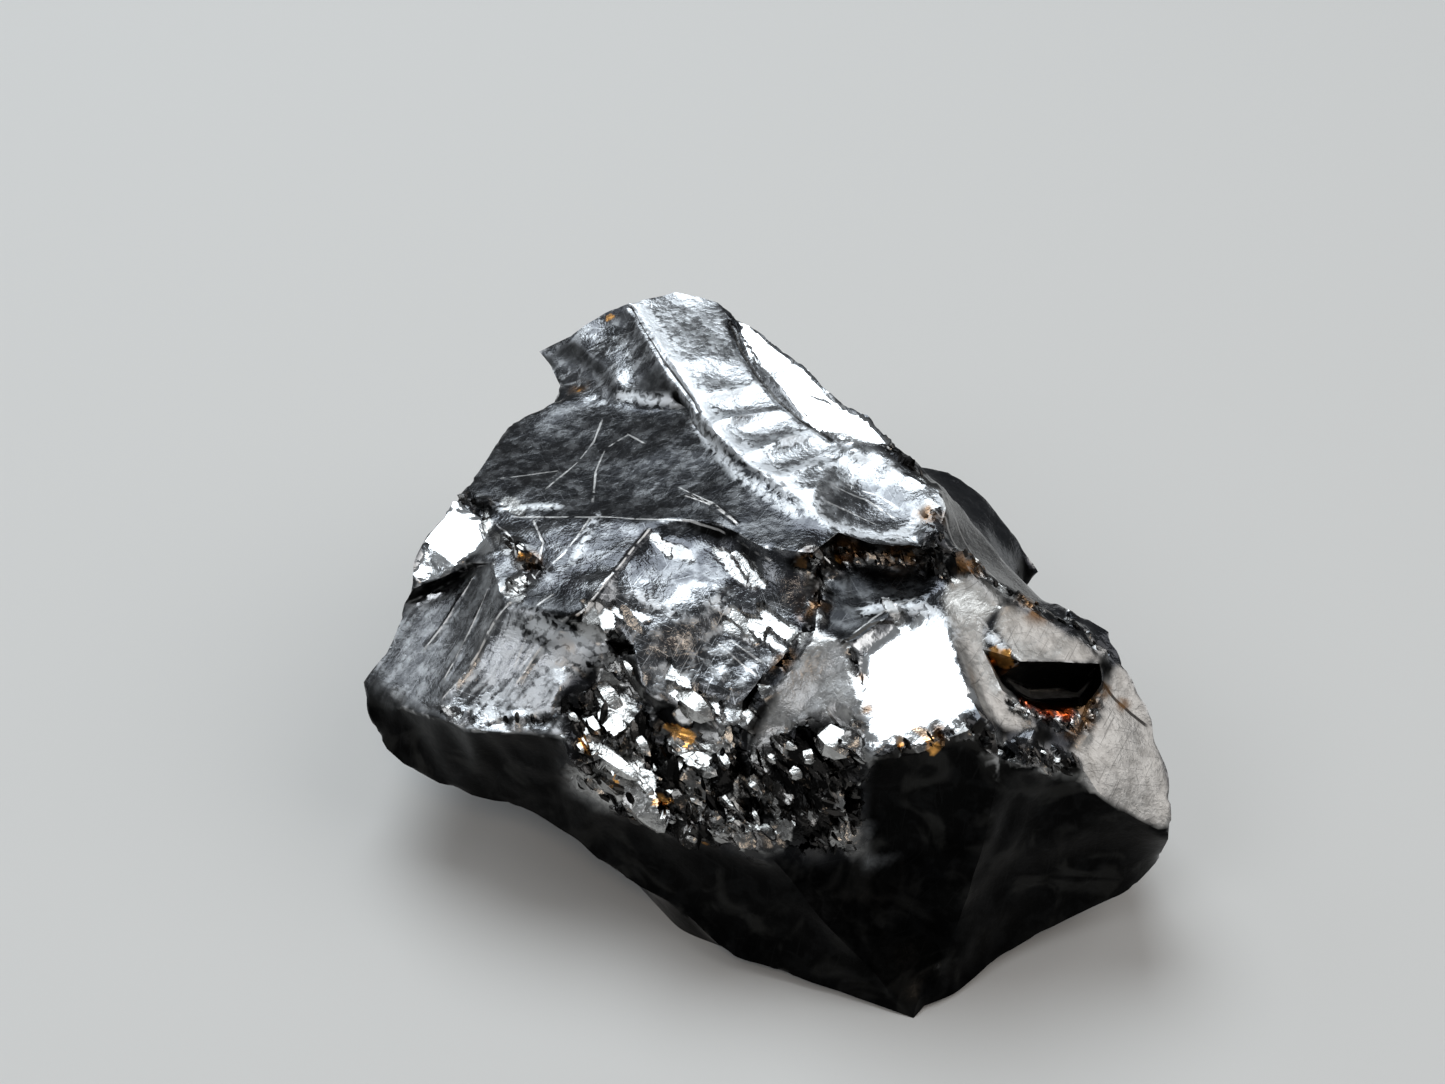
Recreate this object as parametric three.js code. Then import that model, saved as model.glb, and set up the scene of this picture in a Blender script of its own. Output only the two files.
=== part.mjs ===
// A nugget of elite shungite, the glassy, almost pure carbon grade of the stone, as it is broken
// from the vein. It is one solid. Named corners are joined into the scars that flakes left when
// they sprang off, and each scar is a skin stretched between its corners, hollowed in the middle
// and rippled around the blow that struck it. Crushed edges and gullies are roughened with chips.
//
// Millimetres, +Z up. The origin is the middle of the flat scar that the nugget rests on.

import * as THREE from 'three';
import { ImprovedNoise } from 'three/addons/math/ImprovedNoise.js';

// Longest edge of the small faces on each kind of scar.
const broadStep = 1.45;
const middleStep = 1.05;
const fineStep = 0.72;
const chipStep = 0.62;

// How far an edge strays from straight, in a long wave and a short one, and how far chips stand.
const longWave = { height: 0.16, length: 3.2 };
const shortWave = { height: 0.07, length: 1.1 };
const chipSize = 0.85;

// Distance between the places that the waves along x, y and z are taken from, so that they differ.
const waveShift = 31;

// How far a chip stands, against how far it tilts, and the share of it left where scars meet.
const chipStand = 0.6;
const edgeChips = 0.7;

// Numbers that have no common measure, to scatter the chips by.
const scatterBy = new THREE.Vector4(127.1, 311.7, 74.7, 53.3);
const scatterWidth = 43758.5453;

// Twice the smallest area that a face may keep, and the least gain in angle that turns an edge.
const leastFace = 1e-3;
const leastTurn = 1e-3;

// How many times the faces are parted and evened out, and how often a skin is relaxed.
const partingRounds = 7;
const eveningRounds = 4;
const skinRounds = 160;

const nuggetFinish = { color: 0x17181a, roughness: 0.22, metalness: 0.55 };

// Corners where scars meet.
const corners = {
  // The table at the top, and the thin lip and the shelf along its front
  tableWest: [-11.55, 4.65, 9.55], tableBack1: [-10.85, 6.75, 9.8], tableBack2: [-10.55, 8.3, 9.9],
  tableBack3: [-10.05, 9.3, 10], tableBack4: [-8.2, 10.05, 10.35], flankFoot1: [-7.3, 9.8, 10.5],
  flankFoot2: [-6.25, 9.55, 10.65], flankFoot3: [-4.75, 8.6, 10.9], bevelFoot1: [-3.45, 8.4, 11.1],
  bevelFoot2: [-2.8, 6.55, 11.15], bevelFoot3: [-1.65, 3.95, 11.25],
  bevelFoot4: [-0.25, 2.15, 11.4], bevelFoot5: [0.7, 0.25, 11.5], creviceHead: [0.95, -1.3, 11.45],
  lip5: [-0.7, -0.7, 11.2], lip4: [-1.5, 0.1, 11.1], lip3: [-2.35, 0.8, 11],
  lip2: [-3.4, 1.35, 10.8], lip1: [-4.3, 1.4, 10.65], shelfLine2: [-6.25, 2.15, 10.35],
  shelfLine1: [-9.2, 2.85, 9.9], shelfCorner: [-10.35, 4, 9.75], lipEnd: [-4.8, 0.8, 10.45],
  scratch1: [-5.7, -1.15, 10.2], scratch2: [-6.55, -2.65, 9.95], shelfLow2: [-7.4, -3, 9.75],
  shelfLow1: [-9.35, -1.7, 9.55], stepEnd: [-9.85, 0.5, 9.6], windowTop: [-10.3, 2.15, 9.65],
  // A window-like flat at the west edge, with a step under it
  crackEnd: [-10.55, 3.5, 9.4], window1: [-11.8, 3.85, 9.5], window2: [-12.55, 2.6, 9.2],
  window3: [-12.85, 1.75, 8.85], window4: [-12.85, 0.75, 8.35], window5: [-11.8, 0.8, 8.65],
  window6: [-11, 1.25, 8.9], step1: [-13.15, 0.95, 7.55], step2: [-11.9, 1.1, 8.1],
  step3: [-10.95, 1.25, 8.6],
  // The slopes from the shelf down to the west tip and the front edge
  spur1: [-10.2, -2.25, 8], spur2: [-10.95, -3.25, 7.1], edge4: [-11, -4.3, 6.6],
  edge3: [-12.45, -3.2, 6.1], edge2: [-13.55, -2.2, 5.9], westTip: [-14.5, -1.25, 5.7],
  westRim1: [-13.75, -0.65, 6.5], westRim2: [-13.25, 0.55, 7.2], inner1: [-7.1, -2.6, 8.95],
  inner2: [-7.45, -3.15, 8.2], inner3: [-7.4, -4.1, 7.7], edge7: [-7.2, -5.1, 6.9],
  edge6: [-8.6, -4.9, 6.8], edge5: [-10.05, -4.75, 6.6],
  // The square notch
  notch1: [-5.9, -2.9, 8.9], notch2: [-4.9, -3.2, 8.9], notch3: [-4.8, -3.55, 8.75],
  notch4: [-5.5, -3.15, 8.4], notchFloor: [-5.4, -2.1, 7.9], gully1: [-4.9, -4, 7.55],
  gully2: [-6.15, -3.9, 7.3], block1: [-4.65, -4.55, 8.1],
  // The block below the lip, its ledge, chin and jaw
  scar1: [-4.45, 0.7, 10.3], scar2: [-3.4, 0.65, 10.35], scar3: [-2.35, 0.2, 10.4],
  scar4: [-1.5, -0.4, 10.25], scar5: [-1, -1.1, 10.15], ledge1: [-4.05, -2.65, 9.35],
  ledge2: [-2.75, -2.4, 9.45], ledge3: [-1.65, -2.05, 9.55], ledge4: [-0.7, -2.35, 9.65],
  ledge5: [0.05, -3.35, 9.15], ledge6: [-1.25, -2.5, 9.1], chin1: [-3.75, -4.45, 8.15],
  chin2: [-2.75, -4.3, 8.3], chin3: [-1.6, -4.65, 8.3], jaw1: [-3.75, -4.85, 7.85],
  jaw2: [-2.8, -5.25, 7.5], jaw3: [-2.15, -5.85, 7.35],
  // The crevice: left rim, right rim and floor
  crackL1: [1.15, -1.15, 10.3], crackL2: [1, -2.3, 9.9], crackL3: [0.65, -3.2, 9.5],
  crackL4: [0, -3.8, 9], crackL5: [-0.9, -4.5, 8.4], crackL6: [-1.35, -4.9, 8],
  crackL7: [-1.55, -5.45, 7.1], crackR1: [1.35, -1.2, 10.25], crackR2: [1.2, -2.45, 10.05],
  crackR3: [0.95, -3.6, 9.8], crackR4: [0.4, -4.45, 9.2], crackR5: [-0.55, -5.05, 8.3],
  crackR6: [-1.1, -5.45, 7.6], crackR7: [-1.35, -6.1, 6.7], crackF1: [1.3, -0.55, 9.75],
  crackF2: [1.15, -1.75, 9.45], crackF3: [0.9, -2.65, 8.95], crackF4: [0.25, -3.15, 8.3],
  crackF5: [-0.65, -3.65, 7.4], crackF6: [-1.25, -4.35, 6.9],
  // The slab right of the crevice
  slab1: [-1.2, -6.2, 6.4], slab2: [-0.55, -6.1, 6.7], slab3: [0.1, -5.9, 7.4],
  slab4: [0.95, -5.85, 8.2], slab5: [1.95, -6.25, 8.9], slab6: [2.55, -6.35, 8.9],
  slab7: [2.45, -5.65, 9.3], slab8: [2.35, -4.75, 9.6], slab9: [2.1, -4.2, 9.9],
  // The alcove under the tip of the crest, and the porch in front of it
  alcove1: [1.85, -0.25, 11.4], alcove2: [2.8, -0.85, 11.4], alcove3: [4.15, -1.05, 11.45],
  alcove4: [5.65, -0.9, 11], alcoveB1: [1.85, -0.2, 10.7], alcoveB2: [2.95, -0.2, 10.6],
  alcoveB3: [4.35, -0.3, 10.6], alcoveB4: [5.25, -0.6, 10.5], porch1: [1.85, -1.3, 10.2],
  porch2: [2.3, -0.9, 10.2], porch3: [3.3, -0.4, 10.25], porch4: [4.45, -0.6, 10.3],
  porch5: [5.3, -1.25, 10.4], porch6: [4.95, -2.1, 10.3], porch7: [3.9, -2.85, 10.25],
  porch8: [3.05, -3.6, 10.15],
  // The crest: its foot, the groove behind the flutes, the fin, the tongue, the shoulder and the peak
  ridge1: [-5.7, 14.05, 12.5], ridge2: [-5, 12, 12.35], ridge3: [-4.3, 9.8, 12.15],
  ridge4: [-3.35, 7.75, 11.9], ridge5: [-2.6, 6.15, 11.75], ridge6: [-1.4, 3.85, 11.7],
  ridge7: [-0.15, 2.3, 11.75], ridge8: [0.9, 0.8, 11.75], peakBack: [-3.85, 15.1, 12.6],
  groove0: [-2.2, 14.35, 12.45], groove1: [-1.65, 12.9, 12.3], groove2: [-1.1, 10.45, 12.15],
  groove3: [-0.45, 8.55, 12.05], groove4: [0.45, 6.95, 12], groove5: [1.3, 5.6, 11.95],
  groove6: [2.35, 4.55, 12], groove7: [3.15, 4.5, 12], fin1: [-1.45, 12.75, 12.6],
  fin2: [-0.55, 11.45, 12.65], fin3: [0.35, 10.1, 12.5], fin4: [1, 9.25, 12.45],
  fin5: [1.8, 7.7, 12.35], fin6: [2.45, 6.55, 12.3], fin7: [3.15, 6.15, 12.25],
  fin8: [3.6, 5.15, 12.1], tongue1: [5.1, -0.25, 11.5], tongue2: [5.5, 0.65, 11.7],
  tongue3: [5.25, 1.45, 11.9], tongue4: [4.4, 2.4, 11.95], tongue5: [3.2, 3.5, 11.95],
  tongue6: [1.75, 3.75, 11.85], shoulder1: [4, 4.35, 12], shoulder2: [4.8, 3.85, 11.6],
  shoulder3: [5.65, 2.3, 11.3], peakTip: [-9.35, 13.8, 10.4], peakRim1: [-8.05, 13.65, 11.3],
  peakRim2: [-6.75, 14.2, 12], flank1: [-6.9, 11.75, 11.35], flank2: [-5.95, 9.95, 11.15],
  peakChin: [-8.4, 11.6, 10.2],
  // The brow that runs down to the east
  brow1: [6.75, 1.8, 10.3], brow2: [7.9, 0.4, 9.5], brow3: [8.7, -1.05, 9.25],
  brow4: [9.75, -1.75, 9.25], brow5: [10.65, -2.45, 8.9], brow6: [11, -3, 8.6],
  brow7: [11, -3.6, 8.3], strip1: [6.05, -1.5, 10.9], strip2: [7.05, -2.7, 10.5],
  strip3: [8, -2.85, 10.1], strip4: [8.95, -3.2, 9.75], strip5: [10, -3.6, 9.2],
  pale1: [6.3, -1.8, 10.55], pale2: [5.55, -1.65, 10.4], pale3: [7.1, -2.95, 10.1],
  pale4: [6.5, -2.95, 10], pale5: [5.35, -2.45, 10.15], wink1: [6.45, -3.25, 9.85],
  wink2: [7, -3.85, 9.65],
  // The pit: rim and floor
  pit0: [6.4, -4.1, 9.55], pit1: [7.55, -4.55, 9.3], pit2: [8.4, -4.4, 9.25], pit3: [9.35, -4.2, 9],
  pit4: [10.2, -3.85, 8.7], pit5: [10.3, -4.35, 8.35], pit6: [9.55, -5.15, 8],
  pit7: [8.8, -5.5, 7.9], pit8: [7.7, -5.75, 8.5], pit9: [6.9, -5.55, 8.95],
  pitFloor1: [7.1, -4.35, 8.5], pitFloor2: [8.2, -3.5, 7.3], pitFloor3: [9.7, -3.25, 7.1],
  // The saddle, the mirror and the cheek
  saddle1: [7.85, -6.3, 8], saddle2: [6.85, -6.6, 8.2], saddle3: [5.85, -7.05, 9.2],
  saddle4: [5.65, -6.2, 9.55], saddle5: [5.4, -4.85, 9.85], saddle6: [5.45, -3.8, 9.95],
  saddle7: [5.25, -2.9, 10.1], mirror1: [5.35, -7.5, 9], mirror2: [3.85, -7.85, 8.7],
  mirror3: [2.55, -7.95, 8.3], cheek1: [9.55, -6.05, 7.5], cheek2: [10.5, -5.25, 7.65],
  cheek3: [11.55, -5, 7.1], cheek4: [9.05, -6.65, 7.2], side1: [11.55, -4.1, 7.8],
  side2: [11.9, -4.7, 7.2], side3: [12.05, -5.35, 6.7], side4: [12.4, -6.05, 6.1],
  side5: [12.45, -6.95, 5.5], eastTip: [12.35, -7.75, 4.8],
  // The front edge, and the gully behind it
  edge8: [-6.35, -5.85, 6.6], edge9: [-5.1, -6.5, 6.2], edge10: [-4, -7.4, 5.7],
  edge11: [-2.75, -7.9, 5.4], edge12: [-1.3, -8.1, 5.5], edge13: [-0.3, -7.65, 6.2],
  edge14: [0.65, -7.8, 6.8], edge15: [1.7, -7.65, 7.6], edge16: [6.55, -7.65, 8.1],
  edge17: [7.85, -7.65, 7.5], edge18: [9.75, -7.5, 6.5], edge19: [10.85, -7.65, 5.7],
  valley1: [-6.05, -4.2, 6.9], valley2: [-4.35, -4.95, 6.8], valley3: [-2.8, -5.65, 6.45],
  valley4: [-1.95, -6.1, 6.3], valley5: [-5.6, -5.55, 6.5], valley6: [-4.15, -6.35, 6.1],
  valley7: [-2.7, -7.05, 5.8], valley8: [-1.4, -7.2, 5.8],
  // The lower edge of the front
  hem0: [-14.3, -2.2, 5.1], hem1: [-13.6, -3.05, 4.3], hem2: [-12.35, -3.45, 3.4],
  hem3: [-10.6, -3.95, 3], hem4: [-8.65, -4.3, 2.7], hem5: [-7.2, -5.3, 2.2],
  hem6: [-5.6, -6.3, 1.8], hem7: [-3.3, -7.5, 1.2], hem8: [-1.6, -8.95, 0.6],
  hem9: [1.35, -10.05, 0.25], toe: [4.1, -11.05, 0], hem10: [7.85, -8.5, 0.6],
  hem11: [9.65, -7.7, 1.1], hem12: [11.35, -7.25, 1.7], hem13: [12.4, -6.9, 3],
  front1: [6.25, -8.55, 5], front2: [5.45, -9.35, 2], front3: [0.85, -9.2, 3.2],
  // The ledge at the back
  back1: [5.7, 9.75, 7.7], back2: [7.25, 9.55, 7.4], back3: [8.3, 8.85, 6.7],
  back4: [9.15, 8.15, 5.9], back5: [9.85, 7.85, 5], back6: [10.35, 7.45, 4.2],
  back7: [9.7, 6.95, 4], backIn1: [5.75, 6.25, 8.3], backIn2: [7.05, 5.4, 7.5],
  backIn3: [8.55, 4.85, 6],
  // The west side, the back, the east side and the outline of the foot
  west1: [-13.9, -1.2, 4.2], west2: [-13.6, 2.8, 4.7], west3: [-12.3, 6.4, 3.7],
  west4: [-10.1, 9.9, 4.9], rear1: [-9, 11.1, 7.7], rear2: [-7.6, 14.2, 8.8],
  rear3: [-2.8, 15.2, 8.4], rear4: [1.2, 12.2, 9.2], rear5: [4.2, 8.4, 8.8], rear6: [-7, 12.9, 5.2],
  rear7: [-2.6, 13.9, 4.2], rear8: [2.4, 12.7, 4.6], rear9: [6.4, 11.1, 3.4], rear10: [9.4, 8, 2.3],
  east1: [11, 3.6, 2.7], east2: [11.9, -1, 3.4], east3: [12.5, -4.6, 3], foot1: [-7.2, -2.2, 0],
  foot2: [-8.2, 3.8, 0], foot3: [-4.6, 9.2, 0], foot4: [1.4, 9.6, 0], foot5: [6.9, 6.6, 0],
  foot6: [8.9, -0.6, 0], foot7: [7.4, -7, 0], foot8: [-3.4, -7.4, 0],
};

// The scars, each with its ring of corners, counter-clockwise seen from outside. `hollow` is how deep
// its middle lies, `chips` how far chips stand off it, and `ripple` the height of the ripples that
// run at `pitch` round the corner where the blow fell.
const scars = [
  // The table, its shelf and the lip
  { step: middleStep, hollow: 0.05,
    ring: `tableWest shelfCorner shelfLine1 shelfLine2 lip1 lip2 lip3 lip4 lip5 creviceHead bevelFoot5
      bevelFoot4 bevelFoot3 bevelFoot2 bevelFoot1 flankFoot3 flankFoot2 flankFoot1 tableBack4
      tableBack3 tableBack2 tableBack1` },
  { step: fineStep, hollow: 0.04, chips: 0.06,
    ring: `shelfCorner windowTop stepEnd shelfLow1 shelfLow2 scratch2 scratch1 lipEnd lip1 shelfLine2
      shelfLine1` },
  { step: chipStep, hollow: 0.1, chips: 0.04,
    ring: `lipEnd scar1 scar2 scar3 scar4 scar5 lip5 lip4 lip3 lip2 lip1` },
  // The west edge: a crack, a bright window and a step
  { step: chipStep, hollow: 0.12, chips: 0.08,
    ring: `tableWest window1 crackEnd windowTop shelfCorner` },
  { step: fineStep, hollow: 0.06,
    ring: `window1 window2 window3 window4 window5 window6 stepEnd windowTop crackEnd` },
  { step: chipStep, hollow: 0.1, ring: 'window4 step1 step2 step3 stepEnd window6 window5' },
  // The slopes down to the front edge
  { step: middleStep, hollow: 0.18,
    ring: `step1 westRim2 westRim1 westTip edge2 edge3 edge4 spur2 spur1 shelfLow1 stepEnd step3 step2` },
  { step: middleStep, hollow: 0.25,
    ring: `shelfLow1 spur1 spur2 edge4 edge5 edge6 edge7 inner3 inner2 inner1 scratch2 shelfLow2` },
  { step: fineStep, hollow: 0.05, ring: 'scratch2 inner1 notch1' },
  { step: chipStep, hollow: 0.12, chips: 0.14,
    ring: `inner1 inner2 inner3 gully2 gully1 notch4 notch1` },
  // The square notch beside the block
  { step: chipStep, ring: 'notch1 notchFloor notch2' },
  { step: chipStep, ring: 'notch2 notchFloor notch3' },
  { step: chipStep, ring: 'notch3 notchFloor notch4' },
  { step: chipStep, ring: 'notch4 notchFloor notch1' },
  { step: chipStep, hollow: 0.06, ring: 'notch4 gully1 block1 notch3' },
  // The block, with its ledge and chin
  { step: fineStep, hollow: -0.04, chips: 0.08,
    ring: `lipEnd scratch1 scratch2 notch1 notch2 ledge1 ledge2 ledge3 ledge4 ledge5 crackL4 crackL3
      crackL2 crackL1 creviceHead lip5 scar5 scar4 scar3 scar2 scar1` },
  { step: chipStep, chips: 0.05, ring: 'ledge3 ledge6 ledge5 ledge4' },
  { step: fineStep, hollow: 0.08, chips: 0.08,
    ring: `notch2 notch3 block1 chin1 chin2 chin3 crackL6 crackL5 crackL4 ledge5 ledge6 ledge3 ledge2
      ledge1` },
  { step: chipStep, hollow: 0.08, chips: 0.1,
    ring: `block1 jaw1 jaw2 jaw3 crackL7 crackL6 chin3 chin2 chin1` },
  // The crevice, from its head to the gully
  { step: fineStep,
    ring: `creviceHead crackL1 crackL2 crackL3 crackL4 crackL5 crackL6 crackL7 crackF6 crackF5 crackF4
      crackF3 crackF2 crackF1` },
  { step: fineStep,
    ring: `creviceHead crackF1 crackF2 crackF3 crackF4 crackF5 crackF6 crackL7 crackR7 crackR6 crackR5
      crackR4 crackR3 crackR2 crackR1` },
  // The dark slab, and the porch and alcove above it
  { step: fineStep, hollow: 0.14,
    ring: `crackR3 crackR4 crackR5 crackR6 crackR7 slab1 slab2 slab3 slab4 slab5 slab6 slab7 slab8 slab9` },
  { step: fineStep, hollow: 0.1, chips: 0.07,
    ring: `crackR1 crackR2 crackR3 slab9 porch8 porch7 porch6 porch5 porch4 porch3 porch2 porch1` },
  { step: chipStep, hollow: 0.1, chips: 0.12,
    ring: `creviceHead alcoveB1 alcoveB2 alcoveB3 alcoveB4 porch5 alcove4 alcove3 alcove2 alcove1` },
  { step: chipStep, hollow: 0.05, chips: 0.1,
    ring: `creviceHead crackR1 porch1 porch2 porch3 porch4 porch5 alcoveB4 alcoveB3 alcoveB2 alcoveB1` },
  // The crest: a bevel, seven flutes, a tongue, a fin and the flank of the peak
  { step: chipStep, hollow: 0.05,
    ring: `bevelFoot1 bevelFoot2 bevelFoot3 bevelFoot4 bevelFoot5 creviceHead alcove1 ridge8 ridge7
      ridge6 ridge5 ridge4` },
  { step: fineStep, hollow: 0.08, ring: 'ridge1 ridge2 groove1 groove0 peakBack' },
  { step: fineStep, hollow: 0.06, ring: 'ridge2 ridge3 groove2 groove1' },
  { step: fineStep, hollow: 0.1, ring: 'ridge3 ridge4 groove3 groove2' },
  { step: fineStep, hollow: 0.26, ring: 'ridge4 ridge5 groove4 groove3' },
  { step: fineStep, hollow: 0.26, ring: 'ridge5 ridge6 groove5 groove4' },
  { step: fineStep, hollow: 0.24, ring: 'ridge6 ridge7 tongue6 groove6 groove5' },
  { step: fineStep, hollow: 0.1, ring: 'ridge7 ridge8 tongue6' },
  { step: fineStep, hollow: 0.32,
    ring: `ridge8 alcove1 alcove2 alcove3 tongue1 tongue2 tongue3 tongue4 tongue5 tongue6` },
  { step: fineStep, hollow: 0.03,
    ring: `groove1 groove2 groove3 groove4 groove5 groove6 groove7 fin8 fin7 fin6 fin5 fin4 fin3 fin2
      fin1 groove0` },
  { step: chipStep, chips: 0.18,
    ring: `groove6 tongue6 tongue5 tongue4 tongue3 shoulder3 shoulder2 shoulder1 fin8 groove7` },
  { step: fineStep, hollow: 0.12, blow: 'peakChin', pitch: 1.9, ripple: 0.06,
    ring: `ridge1 peakRim2 peakRim1 flank1 flank2 flankFoot2 flankFoot3 bevelFoot1 ridge4 ridge3 ridge2` },
  { step: fineStep, hollow: 0.16,
    ring: `peakTip peakChin flankFoot1 flankFoot2 flank2 flank1 peakRim1` },
  // The east brow, in long grey strips with crumbled edges
  { step: middleStep, hollow: 0.1,
    ring: `shoulder3 tongue3 tongue2 tongue1 alcove4 strip1 strip2 strip3 brow3 brow2 brow1` },
  { step: chipStep, chips: 0.14, ring: 'alcove3 alcove4 tongue1' },
  { step: chipStep, hollow: 0.06, chips: 0.14,
    ring: `brow3 strip3 strip4 strip5 pit4 brow7 brow6 brow5 brow4` },
  { step: chipStep, chips: 0.14, ring: 'alcove4 porch5 pale2 pale1 strip2 strip1' },
  { step: fineStep, hollow: 0.08, ring: 'pale2 pale5 pale4 pale3 strip2 pale1' },
  { step: chipStep, chips: 0.08, ring: 'porch5 porch6 pale5 pale2' },
  { step: fineStep, hollow: 0.1, chips: 0.05,
    ring: `strip2 pale3 wink2 pit1 pit2 pit3 pit4 strip5 strip4 strip3` },
  { step: fineStep, ring: 'wink1 pit0 pit1 wink2' },
  { step: chipStep, ring: 'pale4 wink1 wink2 pale3' },
  // The pit
  { step: chipStep, ring: 'pit0 pitFloor1 pit1' },
  { step: chipStep, ring: 'pit0 pit9 pitFloor1' },
  { step: chipStep, hollow: 0.1, chips: 0.06,
    ring: `pit1 pitFloor1 pitFloor2 pitFloor3 pit4 pit3 pit2` },
  { step: chipStep, ring: 'pit4 pitFloor3 pit6 pit5' },
  { step: chipStep, ring: 'pit6 pitFloor3 pitFloor2 pit8 pit7' },
  { step: chipStep, ring: 'pit8 pitFloor2 pitFloor1 pit9' },
  // The saddle round the pit and the mirror beside it
  { step: fineStep, hollow: 0.22,
    ring: `pale5 saddle7 saddle6 saddle5 saddle4 saddle3 saddle2 saddle1 pit8 pit9 pit0 wink1 pale4` },
  { step: middleStep, hollow: 0.16,
    ring: `slab9 slab8 slab7 slab6 mirror3 mirror2 mirror1 saddle3 saddle4 saddle5 saddle6 saddle7 pale5
      porch6 porch7 porch8` },
  { step: chipStep, hollow: 0.1, chips: 0.22,
    ring: `saddle1 saddle2 saddle3 mirror1 edge16 edge17 cheek4 cheek1 pit6 pit7 pit8` },
  // The east cheek
  { step: middleStep, hollow: 0.1, ring: 'pit4 pit5 pit6 cheek2 cheek3 side2 side1 brow7' },
  { step: chipStep, chips: 0.08, ring: 'pit6 cheek1 cheek2' },
  { step: chipStep, ring: 'side2 cheek3 side3' },
  { step: middleStep, hollow: -0.12,
    ring: `cheek1 cheek4 edge18 edge19 eastTip side5 side4 side3 cheek3 cheek2` },
  // The gully where the front edge has crumbled away
  { step: chipStep, chips: 0.22,
    ring: `gully2 valley1 valley2 valley3 valley4 slab1 crackR7 crackL7 jaw3 jaw2 jaw1 block1 gully1` },
  { step: chipStep, chips: 0.34,
    ring: `valley1 valley5 valley6 valley7 valley8 slab1 valley4 valley3 valley2` },
  { step: chipStep, chips: 0.34,
    ring: `valley5 edge8 edge9 edge10 edge11 edge12 valley8 valley7 valley6` },
  { step: chipStep, hollow: 0.15, chips: 0.2, ring: 'inner3 edge7 edge8 valley5 valley1 gully2' },
  { step: chipStep, chips: 0.28,
    ring: `slab1 valley8 edge12 edge13 edge14 edge15 mirror3 slab6 slab5 slab4 slab3 slab2` },
  // The front: a streaked face on the west, and a bowl struck from the edge above it
  { step: middleStep, hollow: 0.12, blow: 'edge7', pitch: 2.2, ripple: 0.06,
    ring: `westTip hem0 hem1 hem2 hem3 edge5 edge4 edge3 edge2` },
  { step: middleStep, hollow: 0.25, chips: 0.05, ring: 'edge5 hem3 hem4 hem5 edge9 edge8 edge7 edge6' },
  { step: middleStep, hollow: 0.45, blow: 'edge12', pitch: 2.4, ripple: 0.07,
    ring: `edge9 hem5 hem6 hem7 hem8 hem9 toe front3 edge12 edge11 edge10` },
  { step: middleStep, hollow: 0.95, blow: 'edge15', pitch: 2.3, ripple: 0.1,
    ring: `edge12 front3 toe front2 front1 edge16 mirror1 mirror2 mirror3 edge15 edge14 edge13` },
  { step: middleStep, hollow: 0.5, blow: 'edge17', pitch: 2.5, ripple: 0.07,
    ring: `edge16 front1 front2 hem10 hem11 hem12 hem13 eastTip edge19 edge18 cheek4 edge17` },
  { step: fineStep, chips: 0.12, ring: 'front2 toe hem10' },
  // The west side, under the table
  { step: broadStep, hollow: 0.3, chips: 0.08,
    ring: `westTip westRim1 westRim2 step1 west2 west1 hem1 hem0` },
  { step: broadStep, hollow: 0.35,
    ring: `step1 window4 window3 window2 window1 tableWest west3 west2` },
  { step: broadStep, hollow: 0.45, blow: 'tableBack2', pitch: 2.7, ripple: 0.09,
    ring: `tableWest tableBack1 tableBack2 tableBack3 west4 west3` },
  // The back, below the crest
  { step: broadStep, hollow: 0.35, chips: 0.12,
    ring: `tableBack3 tableBack4 flankFoot1 peakChin rear1 west4` },
  { step: broadStep, hollow: 0.25, ring: 'peakChin peakTip rear2 rear1' },
  { step: broadStep, hollow: 0.45, blow: 'peakBack', pitch: 2.5, ripple: 0.09,
    ring: `peakTip peakRim1 peakRim2 ridge1 peakBack rear3 rear2` },
  { step: broadStep, hollow: 0.3, ring: 'rear1 rear2 rear6 west4' },
  { step: broadStep, hollow: 0.5, blow: 'rear3', pitch: 2.6, ripple: 0.09,
    ring: `rear2 rear3 rear7 rear6` },
  { step: broadStep, hollow: 0.4, blow: 'groove0', pitch: 2.5, ripple: 0.09,
    ring: `peakBack groove0 fin1 fin2 fin3 rear4 rear3` },
  { step: broadStep, hollow: 0.35, blow: 'fin4', pitch: 2.4, ripple: 0.08,
    ring: `fin3 fin4 fin5 fin6 fin7 fin8 rear5 rear4` },
  { step: broadStep, hollow: 0.3, chips: 0.1,
    ring: `fin8 shoulder1 shoulder2 shoulder3 backIn1 rear5` },
  { step: broadStep, hollow: 0.15, ring: 'shoulder3 brow1 backIn2 backIn1' },
  { step: broadStep, hollow: 0.2, ring: 'brow1 brow2 brow3 backIn3 backIn2' },
  { step: middleStep, hollow: 0.12, chips: 0.06,
    ring: `backIn1 backIn2 backIn3 back7 back6 back5 back4 back3 back2 back1` },
  { step: broadStep, hollow: 0.5, blow: 'rear4', pitch: 2.7, ripple: 0.1,
    ring: `rear3 rear4 rear8 rear7` },
  { step: broadStep, hollow: 0.55, blow: 'backIn1', pitch: 2.6, ripple: 0.1,
    ring: `rear4 rear5 backIn1 back1 rear9 rear8` },
  { step: broadStep, hollow: 0.25, ring: 'back1 back2 back3 rear9' },
  { step: broadStep, hollow: 0.3, chips: 0.1, ring: 'back3 back4 back5 back6 rear10 rear9' },
  { step: broadStep, hollow: 0.25, ring: 'back6 back7 backIn3 east1 rear10' },
  // The east side
  { step: broadStep, hollow: 0.5, blow: 'brow3', pitch: 2.6, ripple: 0.1,
    ring: `backIn3 brow3 brow4 brow5 east2 east1` },
  { step: broadStep, hollow: 0.45, blow: 'side2', pitch: 2.5, ripple: 0.08,
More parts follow.
